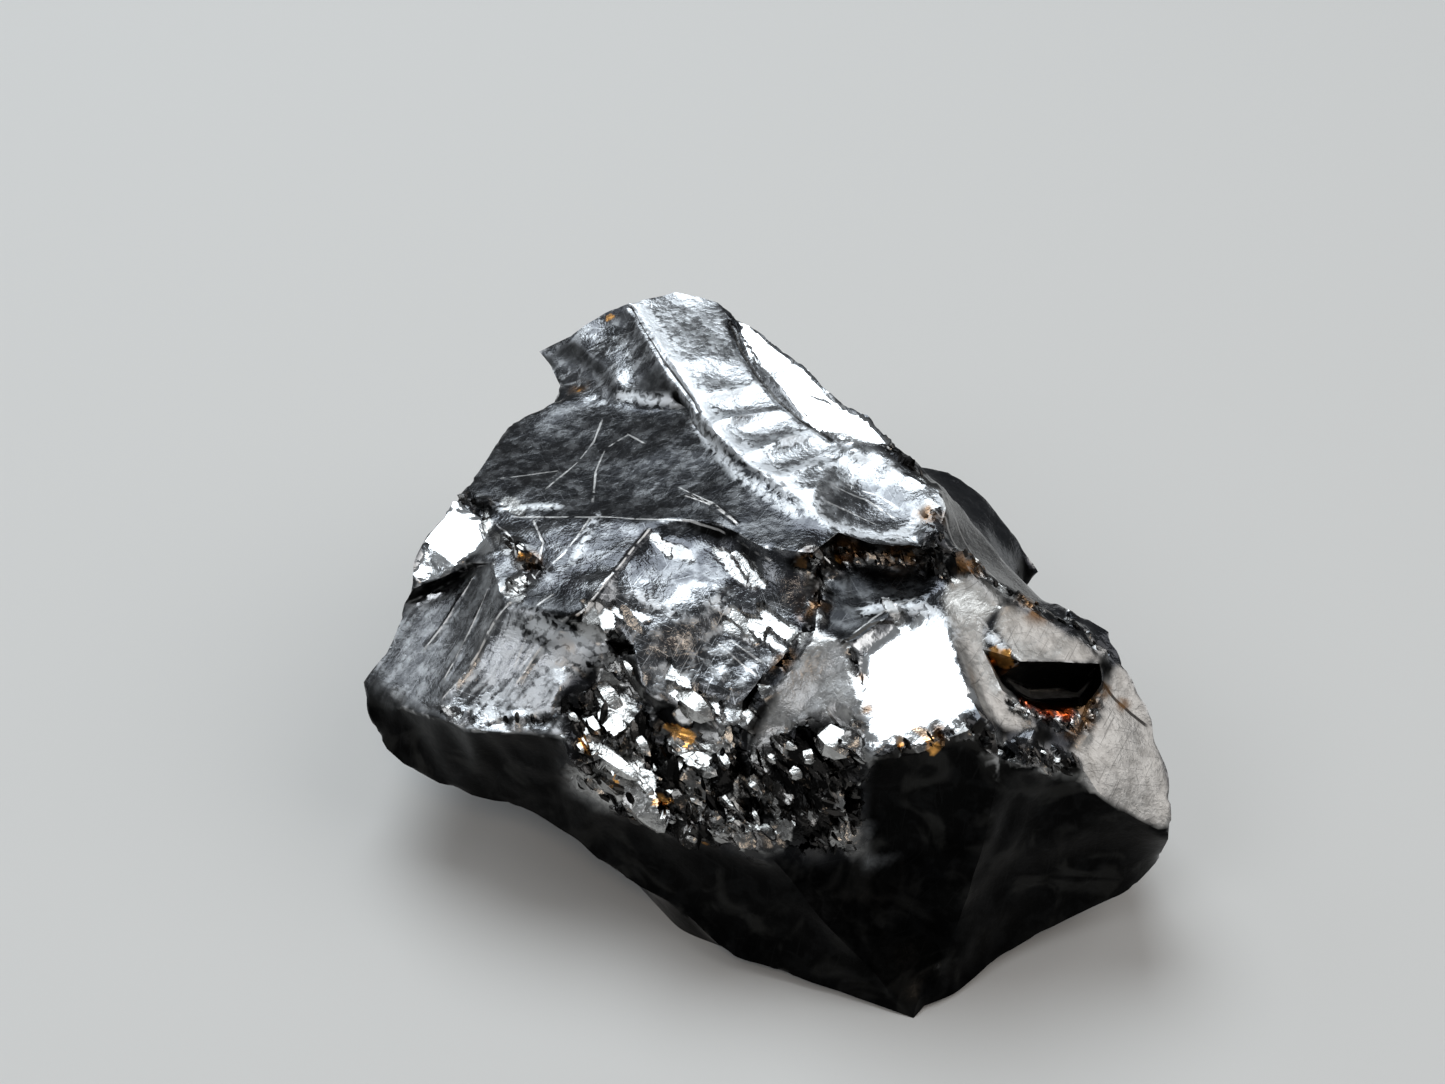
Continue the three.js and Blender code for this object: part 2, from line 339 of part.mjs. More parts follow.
    ring: `brow5 brow6 brow7 side1 side2 side3 side4 east3 east2` },
  { step: broadStep, hollow: 0.2, ring: 'side4 side5 eastTip east3' },
  // The underside, sloping in to the flat scar that the nugget rests on
  { step: broadStep, hollow: 0.3, blow: 'hem1', pitch: 2.7, ripple: 0.08,
    ring: `west1 foot1 hem4 hem3 hem2 hem1` },
  { step: broadStep, hollow: 0.25, ring: 'hem4 foot1 foot8 hem7 hem6 hem5' },
  { step: broadStep, hollow: 0.15, ring: 'hem7 foot8 toe hem9 hem8' },
  { step: broadStep, ring: 'toe foot7 hem10' },
  { step: broadStep, hollow: 0.35, ring: 'hem10 foot7 foot6 east2 hem13 hem12 hem11' },
  { step: broadStep, hollow: 0.1, ring: 'hem13 east2 east3 eastTip' },
  { step: broadStep, hollow: 0.35, blow: 'east1', pitch: 2.6, ripple: 0.08,
    ring: `east2 foot6 foot5 rear10 east1` },
  { step: broadStep, hollow: 0.35, ring: 'rear10 foot5 foot4 rear8 rear9' },
  { step: broadStep, hollow: 0.2, ring: 'rear8 foot4 rear7' },
  { step: broadStep, hollow: 0.4, blow: 'rear6', pitch: 2.7, ripple: 0.09,
    ring: `rear7 foot4 foot3 west4 rear6` },
  { step: broadStep, hollow: 0.3, ring: 'west4 foot3 foot2 west3' },
  { step: broadStep, hollow: 0.4, ring: 'west3 foot2 foot1 west1 west2' },
  { step: broadStep, flat: true, ring: 'foot1 foot2 foot3 foot4 foot5 foot6 foot7 toe foot8' },
];

// A scar's ring of corners as numbers, and the direction that it faces.
const cornerNames = Object.keys(corners);
for (const scar of scars) {
  scar.corners = scar.ring.trim().split(/\s+/).map((name) => cornerNames.indexOf(name));
}

const up = new THREE.Vector3(0, 0, 1);
const east = new THREE.Vector3(1, 0, 0);
const nearlyUp = 0.9;
const noise = new ImprovedNoise();

// The direction that a ring of points faces, by Newell's sum over its sides.
function facing(points) {
  const sum = new THREE.Vector3();
  points.forEach((here, i) => {
    const next = points[(i + 1) % points.length];
    sum.x += (here.y - next.y) * (here.z + next.z);
    sum.y += (here.z - next.z) * (here.x + next.x);
    sum.z += (here.x - next.x) * (here.y + next.y);
  });
  return sum.normalize();
}

// Two directions across the plane that faces along `normal`.
function acrossPlane(normal) {
  const level = Math.abs(normal.z) > nearlyUp;
  const first = new THREE.Vector3().crossVectors(level ? east : up, normal).normalize();
  return [first, new THREE.Vector3().crossVectors(normal, first)];
}

// The first large faces: every ring cut into triangles in its own plane.
function cutRings(points) {
  const faces = [];
  for (const scar of scars) {
    const ring = scar.corners.map((index) => points[index]);
    scar.normal = facing(ring);
    const [first, second] = acrossPlane(scar.normal);
    const flat = ring.map((point) => new THREE.Vector2(point.dot(first), point.dot(second)));
    for (const triple of THREE.ShapeUtils.triangulateShape(flat, [])) {
      const [a, b, c] = triple.map((index) => flat[index]);
      const turn = (b.x - a.x) * (c.y - a.y) - (b.y - a.y) * (c.x - a.x);
      const corner = triple.map((index) => scar.corners[index]);
      faces.push({ scar, corner: turn > 0 ? corner : corner.reverse() });
    }
  }
  return faces;
}

const pairKey = (a, b) => (a < b ? `${a} ${b}` : `${b} ${a}`);
const insideKey = (a, b, scar) => `${pairKey(a, b)} ${scars.indexOf(scar)}`;

// Every edge with the faces beside it. An edge inside a scar has the scar in its key, because two
// scars may each have an edge of their own between the same two corners.
function edgeMap(faces) {
  const edges = new Map();
  for (const face of faces) {
    face.corner.forEach((a, i) => {
      const key = insideKey(a, face.corner[(i + 1) % 3], face.scar);
      if (!edges.has(key)) edges.set(key, { ends: [a, face.corner[(i + 1) % 3]], beside: [] });
      edges.get(key).beside.push(face);
    });
  }
  for (const [key, { ends, beside }] of [...edges]) {
    if (beside.length > 1) continue;
    const shared = pairKey(...ends);
    edges.delete(key);
    if (!edges.has(shared)) edges.set(shared, { ends, beside: [] });
    edges.get(shared).beside.push(beside[0]);
  }
  return edges;
}

// Parts every edge that is longer than the finer of the two scars beside it allows.
function partLongEdges(points, faces) {
  const middles = new Map();
  for (const [key, { ends: [a, b], beside }] of edgeMap(faces)) {
    const step = Math.min(...beside.map((face) => face.scar.step));
    if (points[a].distanceTo(points[b]) > step) {
      middles.set(key, points.length);
      points.push(points[a].clone().lerp(points[b], 0.5));
    }
  }
  const parted = [];
  for (const face of faces) {
    const outline = [];
    face.corner.forEach((a, i) => {
      const b = face.corner[(i + 1) % 3];
      const middle = middles.get(insideKey(a, b, face.scar)) ?? middles.get(pairKey(a, b));
      outline.push(a);
      if (middle !== undefined) outline.push(middle);
    });
    for (const corner of cutOutline(points, outline, face.corner)) parted.push({ scar: face.scar, corner });
  }
  return parted;
}

// Cuts a triangle whose edges hold middle points: the middle ones join up, and a four-sided rest
// is cut along its shorter diagonal.
function cutOutline(points, outline, triangle) {
  const count = outline.length;
  if (count === 3) return [outline];
  const turned = (start) => outline.map((_, i) => outline[(start + i) % count]);
  if (count === 4) {
    const [middle, next, far, last] = turned(outline.findIndex((index) => !triangle.includes(index)));
    return [[middle, next, far], [middle, far, last]];
  }
  if (count === 6) {
    const [a, ab, b, bc, c, ca] = turned(outline.indexOf(triangle[0]));
    return [[a, ab, ca], [ab, b, bc], [bc, c, ca], [ab, bc, ca]];
  }
  const whole = outline.findIndex((index, i) => triangle.includes(index)
    && !triangle.includes(outline[(i + 1) % count]) && !triangle.includes(outline[(i + count - 1) % count]));
  const [tip, after, right, left, before] = turned(whole);
  const short = points[after].distanceTo(points[left]) < points[before].distanceTo(points[right]);
  const rest = short
    ? [[after, right, left], [after, left, before]]
    : [[after, right, before], [right, left, before]];
  return [[tip, after, before], ...rest];
}

// Turns an edge inside a scar when that makes the two faces beside it rounder.
function turnEdges(points, faces) {
  const edges = edgeMap(faces);
  const side = new THREE.Vector3();
  const other = new THREE.Vector3();
  const angleAt = (tip, a, b) => {
    side.subVectors(points[a], points[tip]);
    other.subVectors(points[b], points[tip]);
    return side.angleTo(other);
  };
  const facesOut = (scar, a, b, c) => {
    side.subVectors(points[b], points[a]);
    other.subVectors(points[c], points[a]);
    return side.cross(other).dot(scar.normal) > leastFace;
  };
  const pairs = new Set([...edges.values()].map(({ ends }) => pairKey(...ends)));
  const touched = new Set();
  for (const { ends: [a, b], beside: [one, two] } of edges.values()) {
    if (one.scar !== two.scar || touched.has(one) || touched.has(two)) continue;
    const start = one.corner.findIndex((index) => index !== a && index !== b);
    const tip = one.corner[start];
    const from = one.corner[(start + 1) % 3];
    const to = one.corner[(start + 2) % 3];
    const far = two.corner.find((index) => index !== a && index !== b);
    const turned = pairKey(tip, far);
    if (pairs.has(turned)) continue;
    if (angleAt(tip, a, b) + angleAt(far, a, b) < Math.PI + leastTurn) continue;
    if (!facesOut(one.scar, tip, from, far) || !facesOut(one.scar, tip, far, to)) continue;
    one.corner = [tip, from, far];
    two.corner = [tip, far, to];
    touched.add(one);
    touched.add(two);
    pairs.add(turned);
  }
}

// The points inside each scar, with their neighbours and the faces round them.
function insidePoints(points, faces) {
  const scarsAt = points.map(() => new Set());
  const around = points.map(() => new Set());
  const facesAt = points.map(() => []);
  for (const face of faces) {
    face.corner.forEach((index) => {
      scarsAt[index].add(face.scar);
      facesAt[index].push(face);
      face.corner.forEach((other) => other !== index && around[index].add(other));
    });
  }
  const inside = [];
  scarsAt.forEach((found, index) => {
    if (found.size !== 1) return;
    inside.push({ index, scar: [...found][0], near: [...around[index]], faces: facesAt[index] });
  });
  return { inside, scarsAt, facesAt };
}

// Moves each inside point to the middle of its neighbours, within the plane of its scar, unless
// that would turn a face over.
function evenOut(points, faces) {
  const { inside } = insidePoints(points, faces);
  const move = new THREE.Vector3();
  const first = new THREE.Vector3();
  const second = new THREE.Vector3();
  for (const { index, scar, near, faces: round } of inside) {
    const here = points[index];
    const before = here.clone();
    move.set(0, 0, 0);
    near.forEach((other) => move.addScaledVector(points[other], 1 / near.length));
    move.sub(here);
    move.addScaledVector(scar.normal, -move.dot(scar.normal));
    here.add(move);
    const turnedOver = round.some(({ corner: [a, b, c] }) => {
      first.subVectors(points[b], points[a]);
      second.subVectors(points[c], points[a]);
      return first.cross(second).dot(scar.normal) < leastFace;
    });
    if (turnedOver) here.copy(before);
  }
}

// Stretches each scar between its edges like a skin, and finds how deep a soft skin would sag
// there: 0 along the edges and 1 in the deepest place of the scar.
function stretchSkins(points, faces) {
  const { inside } = insidePoints(points, faces);
  const sag = new Float64Array(points.length);
  for (let round = 0; round < skinRounds; round += 1) {
    for (const { index, scar, near } of inside) {
      let lift = 0;
      let sagging = 0;
      for (const other of near) {
        lift += points[other].dot(scar.normal);
        sagging += sag[other];
      }
      lift = lift / near.length - points[index].dot(scar.normal);
      points[index].addScaledVector(scar.normal, lift);
      sag[index] = sagging / near.length + 1;
    }
  }
  for (const scar of scars) scar.deepest = 0;
  for (const { index, scar } of inside) scar.deepest = Math.max(scar.deepest, sag[index]);
  for (const { index, scar } of inside) sag[index] /= scar.deepest;
  return { inside, sag };
}

// Hollows each scar and ripples it round its blow.
function hollowScars(points, { inside, sag }) {
  for (const { index, scar } of inside) {
    const depth = sag[index];
    let lift = -(scar.hollow ?? 0) * depth;
    if (scar.ripple) {
      const reach = points[index].distanceTo(new THREE.Vector3(...corners[scar.blow]));
      lift += scar.ripple * Math.sqrt(depth) * Math.sin((2 * Math.PI * reach) / scar.pitch);
    }
    points[index].addScaledVector(scar.normal, lift);
  }
}

// A number from 0 to 1 that is always the same for the same three whole numbers and turn.
function scatter(x, y, z, turn) {
  const value = Math.sin(new THREE.Vector4(x, y, z, turn).dot(scatterBy)) * scatterWidth;
  return value - Math.floor(value);
}

// Height of the chips at a place: each little cell of space holds a flat chip with its own tilt.
function chipHeight(place) {
  const x = place.x / chipSize;
  const y = place.y / chipSize;
  const z = place.z / chipSize;
  let nearest = Infinity;
  let height = 0;
  for (let i = Math.floor(x) - 1; i <= Math.floor(x) + 1; i += 1) {
    for (let j = Math.floor(y) - 1; j <= Math.floor(y) + 1; j += 1) {
      for (let k = Math.floor(z) - 1; k <= Math.floor(z) + 1; k += 1) {
        const dx = x - i - scatter(i, j, k, 1);
        const dy = y - j - scatter(i, j, k, 2);
        const dz = z - k - scatter(i, j, k, 3);
        const distance = dx * dx + dy * dy + dz * dz;
        if (distance < nearest) {
          nearest = distance;
          const tilt = (turn) => scatter(i, j, k, turn) * 2 - 1;
          height = tilt(4) * chipStand + dx * tilt(5) + dy * tilt(6) + dz * tilt(7);
        }
      }
    }
  }
  return height;
}

// Roughens edges with a long and a short wave, and raises the chips where a scar has them.
function roughen(points, faces) {
  const { scarsAt, facesAt } = insidePoints(points, faces);
  const first = new THREE.Vector3();
  const second = new THREE.Vector3();
  const moves = points.map((place, index) => {
    const met = [...scarsAt[index]];
    const move = new THREE.Vector3();
    if (met.some((scar) => scar.flat)) return move;
    for (const { height, length } of [longWave, shortWave]) {
      const at = place.clone().divideScalar(length);
      move.x += height * noise.noise(at.x, at.y, at.z);
      move.y += height * noise.noise(at.y + waveShift, at.z, at.x);
      move.z += height * noise.noise(at.z, at.x + 2 * waveShift, at.y);
    }
    const chips = Math.max(...met.map((scar) => scar.chips ?? 0)) * (met.length > 1 ? edgeChips : 1);
    if (chips > 0) {
      const out = new THREE.Vector3();
      for (const { corner: [a, b, c] } of facesAt[index]) {
        first.subVectors(points[b], points[a]);
        second.subVectors(points[c], points[a]);
        out.add(first.cross(second));
      }
      move.addScaledVector(out.normalize(), chips * chipHeight(place));
    }
    return move;
  });
  points.forEach((place, index) => place.add(moves[index]));
}

function makeNugget() {
  const points = cornerNames.map((name) => new THREE.Vector3(...corners[name]));
  let faces = cutRings(points);
  for (let round = 0; round < partingRounds; round += 1) {
    turnEdges(points, faces);
    faces = partLongEdges(points, faces);
    for (let i = 0; i < eveningRounds; i += 1) {
      turnEdges(points, faces);
      evenOut(points, faces);
    }
  }
  hollowScars(points, stretchSkins(points, faces));
  roughen(points, faces);

  const places = points.flatMap((point) => point.toArray());
  const geometry = new THREE.BufferGeometry();
  geometry.setAttribute('position', new THREE.Float32BufferAttribute(places, 3));
  geometry.setIndex(faces.flatMap((face) => face.corner));
  geometry.computeVertexNormals();
  return geometry;
}

const nugget = new THREE.Mesh(makeNugget(), new THREE.MeshStandardMaterial(nuggetFinish));
nugget.name = 'nugget';

const stone = new THREE.Group();
stone.name = 'elite_shungite';
stone.add(nugget);

export default stone;
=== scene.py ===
"""A nugget of elite shungite, glassy black carbon with conchoidal scars, on a pale studio floor.

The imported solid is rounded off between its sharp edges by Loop's rule, given fine relief (shards,
ripples, nicks and crumbs), and painted by places on the stone. Lengths in this file are
millimetres in the stone's own frame unless a name says otherwise; Blender gets metres.
"""
import functools
import math

import bpy
import numpy as np
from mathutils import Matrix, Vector


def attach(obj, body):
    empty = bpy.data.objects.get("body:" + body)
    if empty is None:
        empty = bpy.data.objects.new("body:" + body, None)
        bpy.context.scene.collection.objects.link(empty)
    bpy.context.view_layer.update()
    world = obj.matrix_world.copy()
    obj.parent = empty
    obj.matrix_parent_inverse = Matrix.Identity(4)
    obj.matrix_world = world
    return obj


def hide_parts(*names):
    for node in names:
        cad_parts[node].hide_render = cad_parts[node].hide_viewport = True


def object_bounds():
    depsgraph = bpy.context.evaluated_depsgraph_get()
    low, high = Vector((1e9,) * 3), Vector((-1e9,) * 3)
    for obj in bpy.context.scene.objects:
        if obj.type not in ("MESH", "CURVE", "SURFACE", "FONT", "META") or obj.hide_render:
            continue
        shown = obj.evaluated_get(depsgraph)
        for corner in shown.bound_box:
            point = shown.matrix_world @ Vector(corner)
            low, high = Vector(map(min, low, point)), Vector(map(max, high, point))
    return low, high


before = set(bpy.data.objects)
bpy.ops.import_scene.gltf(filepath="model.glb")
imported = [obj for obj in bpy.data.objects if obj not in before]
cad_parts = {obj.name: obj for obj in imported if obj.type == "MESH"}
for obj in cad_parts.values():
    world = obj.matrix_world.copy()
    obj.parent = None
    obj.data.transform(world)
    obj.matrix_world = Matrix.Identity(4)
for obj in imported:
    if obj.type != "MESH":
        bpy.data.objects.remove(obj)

cad_low, cad_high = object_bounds()
MM = 0.001


# ---------------------------------------------------------------- triangles and their edges

def unit(vectors):
    """Each row divided by its length."""
    return vectors / np.maximum(np.linalg.norm(vectors, axis=-1, keepdims=True), 1e-12)


def smoothstep(low, high, value):
    """0 below low, 1 above high, and 3t^2 - 2t^3 in between."""
    t = np.clip((value - low) / (high - low), 0.0, 1.0)
    return t * t * (3.0 - 2.0 * t)


def welded(node, join=0.001):
    """The node's loose triangles as (places in mm, triangles), with corners closer than join made one."""
    mesh = node.data
    flat = np.empty(len(mesh.vertices) * 3, np.float32)
    mesh.vertices.foreach_get("co", flat)
    mesh.calc_loop_triangles()
    corner = np.empty(len(mesh.loop_triangles) * 3, np.int32)
    mesh.loop_triangles.foreach_get("vertices", corner)
    places = flat.reshape(-1, 3).astype(float) / MM
    _, first, back = np.unique(np.round(places / join).astype(np.int64), axis=0,
                               return_index=True, return_inverse=True)
    triangles = back.ravel()[corner].reshape(-1, 3)
    whole = ((triangles[:, 0] != triangles[:, 1]) & (triangles[:, 1] != triangles[:, 2])
             & (triangles[:, 2] != triangles[:, 0]))
    return places[first], triangles[whole]


def edge_table(triangles):
    """Every edge once, as (its two ends, the edge of each triangle's side 0-1, 1-2 and 2-0)."""
    sides = np.stack([triangles, np.roll(triangles, -1, axis=1)], axis=2).reshape(-1, 2)
    ends, which = np.unique(np.sort(sides, axis=1), axis=0, return_inverse=True)
    return ends, which.reshape(-1, 3)


def stacked(*parts):
    """Blocks of triangles, each from arrays of its first, second and third corners."""
    return [np.stack(part, axis=1) for part in parts]


def face_normals(places, triangles):
    """Each triangle's normal, as long as twice its area."""
    a, b, c = (places[triangles[:, k]] for k in range(3))
    return np.cross(b - a, c - a)


def point_normals(places, triangles):
    """Unit normals at the places: the sum of the triangles' normals round each."""
    total = np.zeros_like(places)
    facing = face_normals(places, triangles)
    for k in range(3):
        np.add.at(total, triangles[:, k], facing)
    return unit(total)


def edge_angles(places, triangles, which, count):
    """The angle between the two faces at each edge, from |n1 + n2|^2 = 2 + 2 cos(angle)."""
    both = np.zeros((count, 3))
    facing = unit(face_normals(places, triangles))
    for k in range(3):
        np.add.at(both, which[:, k], facing)
    return np.arccos(np.clip((both ** 2).sum(1) / 2.0 - 1.0, -1.0, 1.0))


def loop_round(places, triangles, sharp):
    """One round of Loop's subdivision, where sharp (0 to 1 for each edge) keeps an edge as it is.

    A new point on a smooth edge is 3/8 of each end and 1/8 of each far corner, and on a sharp edge
    the middle. An old point moves to (1 - nb) itself + b times its n neighbours, or along a sharp
    line to 3/4 itself + 1/8 of each neighbour on the line, and stays where three sharp lines meet.
    """
    ends, which = edge_table(triangles)
    far = np.zeros((len(ends), 3))
    for k in range(3):
        np.add.at(far, which[:, k], places[triangles[:, (k + 2) % 3]])
    both = places[ends[:, 0]] + places[ends[:, 1]]
    weight = sharp[:, None]
    middle = (1 - weight) * (both * 0.375 + far * 0.125) + weight * both * 0.5

    count = np.zeros(len(places))
    around = np.zeros_like(places)
    along = np.zeros_like(places)
    sharpness = np.zeros(len(places))
    for here, there in ((0, 1), (1, 0)):
        np.add.at(count, ends[:, here], 1)
        np.add.at(around, ends[:, here], places[ends[:, there]])
        np.add.at(along, ends[:, here], places[ends[:, there]] * weight)
        np.add.at(sharpness, ends[:, here], sharp)
    share = np.where(count > 3, 3.0 / (8.0 * count), 3.0 / 16.0)[:, None]
    soft = places * (1 - count[:, None] * share) + around * share
    line = places * 0.75 + 0.25 * along / np.maximum(sharpness, 1e-9)[:, None]
    on_line = smoothstep(0.4, 1.8, sharpness)[:, None]
    corner = smoothstep(2.1, 3.0, sharpness)[:, None]
    moved = (1 - on_line) * soft + on_line * line
    moved = (1 - corner) * moved + corner * places

    a, b, c = (triangles[:, k] for k in range(3))
    ab, bc, ca = (which[:, k] + len(places) for k in range(3))
    finer = np.concatenate(stacked((a, ab, ca), (ab, b, bc), (ca, bc, c), (ab, bc, ca)))
    new_places = np.concatenate([moved, middle])

    new_ends, _ = edge_table(finer)
    size = len(new_places)
    mid = np.arange(len(ends)) + len(places)
    halves = np.concatenate([ends[:, 0] * size + mid, ends[:, 1] * size + mid])
    order = np.argsort(halves)
    found = np.searchsorted(halves[order], new_ends[:, 0] * size + new_ends[:, 1])
    found = np.minimum(found, len(halves) - 1)
    match = halves[order][found] == new_ends[:, 0] * size + new_ends[:, 1]
    new_sharp = np.where(match, np.concatenate([sharp, sharp])[order][found], 0.0)
    return new_places, finer, new_sharp


def split_long(places, triangles, longest):
    """Parts every edge longer than both its ends' longest, and cuts the triangles beside it to fit.

    A triangle with one parted edge becomes two, with two parted edges three, and with three four.
    """
    ends, which = edge_table(triangles)
    length = np.linalg.norm(places[ends[:, 0]] - places[ends[:, 1]], axis=1)
    parted = length > np.maximum(longest[ends[:, 0]], longest[ends[:, 1]])
    middle = np.full(len(ends), -1)
    middle[parted] = len(places) + np.arange(parted.sum())
    places = np.concatenate([places, places[ends[parted]].mean(axis=1)])
    side = middle[which]
    number = (side >= 0).sum(axis=1)
    made = [triangles[number == 0]]

    def turned(rows, first):
        """The rows' corners and side middles, turned so that side number first comes first."""
        return (np.roll(triangles[rows], -first, axis=1).T, np.roll(side[rows], -first, axis=1).T)

    for first in range(3):
        (a, b, c), (ab, _, _) = turned((number == 1) & (side[:, first] >= 0), first)
        made += stacked((a, ab, c), (ab, b, c))
        (a, b, c), (ab, bc, _) = turned((number == 2) & (side[:, (first + 2) % 3] < 0), first)
        made += stacked((a, ab, c), (ab, bc, c), (ab, b, bc))
    (a, b, c), (ab, bc, ca) = turned(number == 3, 0)
    made += stacked((a, ab, ca), (ab, b, bc), (ca, bc, c), (ab, bc, ca))
    return places, np.concatenate(made)


# ---------------------------------------------------------------- noise and shards

def scatter(cells, turn):
    """A number from 0 to 1 for each row and turn: the fractional part of a large sine.

    Each use has a turn of its own, which only keeps it apart from the others.
    """
    value = np.sin(cells[..., 0] * 127.1 + cells[..., 1] * 311.7 + cells[..., 2] * 74.7 + turn * 53.3)
    return (value * 43758.5453) % 1.0


def waves(places, length, turn):
    """Smooth noise from -1 to 1: scattered values on a lattice of that length, eased between."""
    spot = places / length
    base = np.floor(spot)
    t = spot - base
    t = t * t * t * (t * (t * 6 - 15) + 10)
    total = np.zeros(len(places))
    for i in (0, 1):
        for j in (0, 1):
            for k in (0, 1):
                step = np.array([i, j, k], float)
                weight = np.abs(1 - step - t).prod(axis=1)
                total += weight * scatter(base + step, turn)
    return total * 2 - 1


def cells(places, size, stretch, turn):
    """Space parted into cells round scattered middles, about size wide and longer along stretch.

    Each place belongs to the nearest middle. Returns (its middle, a scattered number for the cell,
    which cell it is as a whole number). Turns up to turn + 4 are used.
    """
    way = unit(np.array(stretch, float))
    squeeze = np.eye(3) - 0.65 * np.outer(way, way)
    spot = places @ squeeze / size
    base = np.floor(spot)
    nearest = np.full(len(places), 1e9)
    middle = np.zeros_like(places)
    pick = np.zeros(len(places))
    for i in (-1, 0, 1):
        for j in (-1, 0, 1):
            for k in (-1, 0, 1):
                cell = base + np.array([i, j, k], float)
                inner = np.stack([scatter(cell, turn + n) for n in (1, 2, 3)], axis=1)
                distance = ((spot - cell - inner) ** 2).sum(axis=1)
                closer = distance < nearest
                nearest = np.where(closer, distance, nearest)
                middle = np.where(closer[:, None], cell + inner, middle)
                pick = np.where(closer, scatter(cell, turn + 4), pick)
    _, number = np.unique(np.round(middle * 1000).astype(np.int64), axis=0, return_inverse=True)
    return middle @ np.linalg.inv(squeeze) * size, pick, number.ravel()


def cell_mean(values, number):
    """Each cell's mean of the values, column by column."""
    if values.ndim > 1:
        return np.stack([cell_mean(column, number) for column in values.T], axis=1)
    return np.bincount(number, values) / np.bincount(number)


def faceted(places, normals, middle, pick, number, facings, chances, size, proud, lean_about=0.14):
    """Height that makes each cell one flat facet.

    The cell picks one of the facings f, and where the surface is too steep for it, f turns to the
    cell's own mean normal. Over a surface facing n a plane facing f through m rises by
    ((m - x) . f) / (n . f); its mean over the cell is taken off, and a scattered lift of up to proud
    is added. Returns (height, which facing).
    """
    facings = unit(np.array(facings, float))
    which = np.searchsorted(np.cumsum(chances)[:-1], pick)
    wobble = np.stack([scatter(middle, n) - 0.5 for n in (71, 72)] + [np.zeros(len(places))], axis=1)
    mean = unit(cell_mean(normals, number)[number])
    chosen = unit(facings[which] + lean_about * wobble)
    follow = smoothstep(0.55, 0.85, (mean * chosen).sum(axis=1))[:, None]
    facing = unit(follow * chosen + (1 - follow) * (mean + 0.5 * wobble))
    lean = np.maximum((normals * facing).sum(axis=1), 0.6)
    height = ((middle - places) * facing).sum(axis=1) / lean
    height = height - cell_mean(height, number)[number]
    lift = (scatter(middle, 73) * 2 - 1) * proud
    return np.clip(height, -size * 0.5, size * 0.5) + lift, which


# ---------------------------------------------------------------- places on the stone

def within(places, ring, soft=0.5):
    """How far inside the outline, seen from above: 0 outside it, 1 deeper inside than soft."""
    ring = np.array(ring, float)
    x, y = places[:, 0], places[:, 1]
    inside = np.zeros(len(places), bool)
    reach = np.full(len(places), 1e9)
    for (x0, y0), (x1, y1) in zip(ring, np.roll(ring, -1, axis=0)):
        crosses = (y0 > y) != (y1 > y)
        rise = y1 - y0 if y1 != y0 else 1e-9
        inside ^= crosses & (x < x0 + (y - y0) * (x1 - x0) / rise)
        run = max((x1 - x0) ** 2 + (y1 - y0) ** 2, 1e-9)
        t = np.clip(((x - x0) * (x1 - x0) + (y - y0) * (y1 - y0)) / run, 0, 1)
        reach = np.minimum(reach, np.hypot(x - x0 - t * (x1 - x0), y - y0 - t * (y1 - y0)))
    return smoothstep(-soft, soft, np.where(inside, reach, -reach))


def from_segment(places, start, end):
    """(the way from the segment's nearest point to each place, the segment's own way)."""
    a, b = np.array(start, float), np.array(end, float)
    t = np.clip((places - a) @ (b - a) / ((b - a) @ (b - a)), 0, 1)
    return places - a - t[:, None] * (b - a), b - a


def along_line(places, points, reach):
    """1 on the line through the points, falling to 0 at reach from it."""
    nearest = np.full(len(places), 1e9)
    for start, end in zip(points[:-1], points[1:]):
        nearest = np.minimum(nearest, np.linalg.norm(from_segment(places, start, end)[0], axis=1))
    return 1 - smoothstep(0.0, reach, nearest)


def near(places, spots):
    """1 at the middle of any of the (middle, reach) spots, falling to 0 at its reach."""
    mask = np.zeros(len(places))
    for middle, reach in spots:
        away = np.linalg.norm(places - np.array(middle), axis=1)
        mask = np.maximum(mask, 1 - smoothstep(0.35 * reach, reach, away))
    return mask


def along_lines(places, lines):
    """1 on any of the (points, reach) lines, falling to 0 at its reach."""
    mask = np.zeros(len(places))
    for points, reach in lines:
        mask = np.maximum(mask, along_line(places, points, reach))
    return mask


# How near a line is close by, where that ends, and how far above or below it no longer counts.
CLOSE_FULL, CLOSE_TO, TOO_DEEP = 0.12, 0.3, 0.9


def beside(places, normals, lines):
    """(signed distance across the nearest line, 1 close to a line and 0 at CLOSE_TO from it).

    Distances are taken in the plane that touches the surface: across is the line's way x the normal.
    A line more than TOO_DEEP above or below the surface belongs to another part of the stone.
    """
    nearest = np.full(len(places), 1e9)
    signed = np.ones(len(places))
    for points in lines:
        for start, end in zip(points[:-1], points[1:]):
            away, way = from_segment(places, start, end)
            deep = (away * normals).sum(axis=1)
            flat = np.linalg.norm(away - deep[:, None] * normals, axis=1) + 9 * (np.abs(deep) > TOO_DEEP)
            across = unit(np.cross(way, normals))
            side = (away * across).sum(axis=1)
            closer = flat < nearest
            nearest = np.where(closer, flat, nearest)
            signed = np.where(closer, side, signed)
    return np.clip(signed, -1, 1), 1 - smoothstep(CLOSE_FULL, CLOSE_TO, nearest)


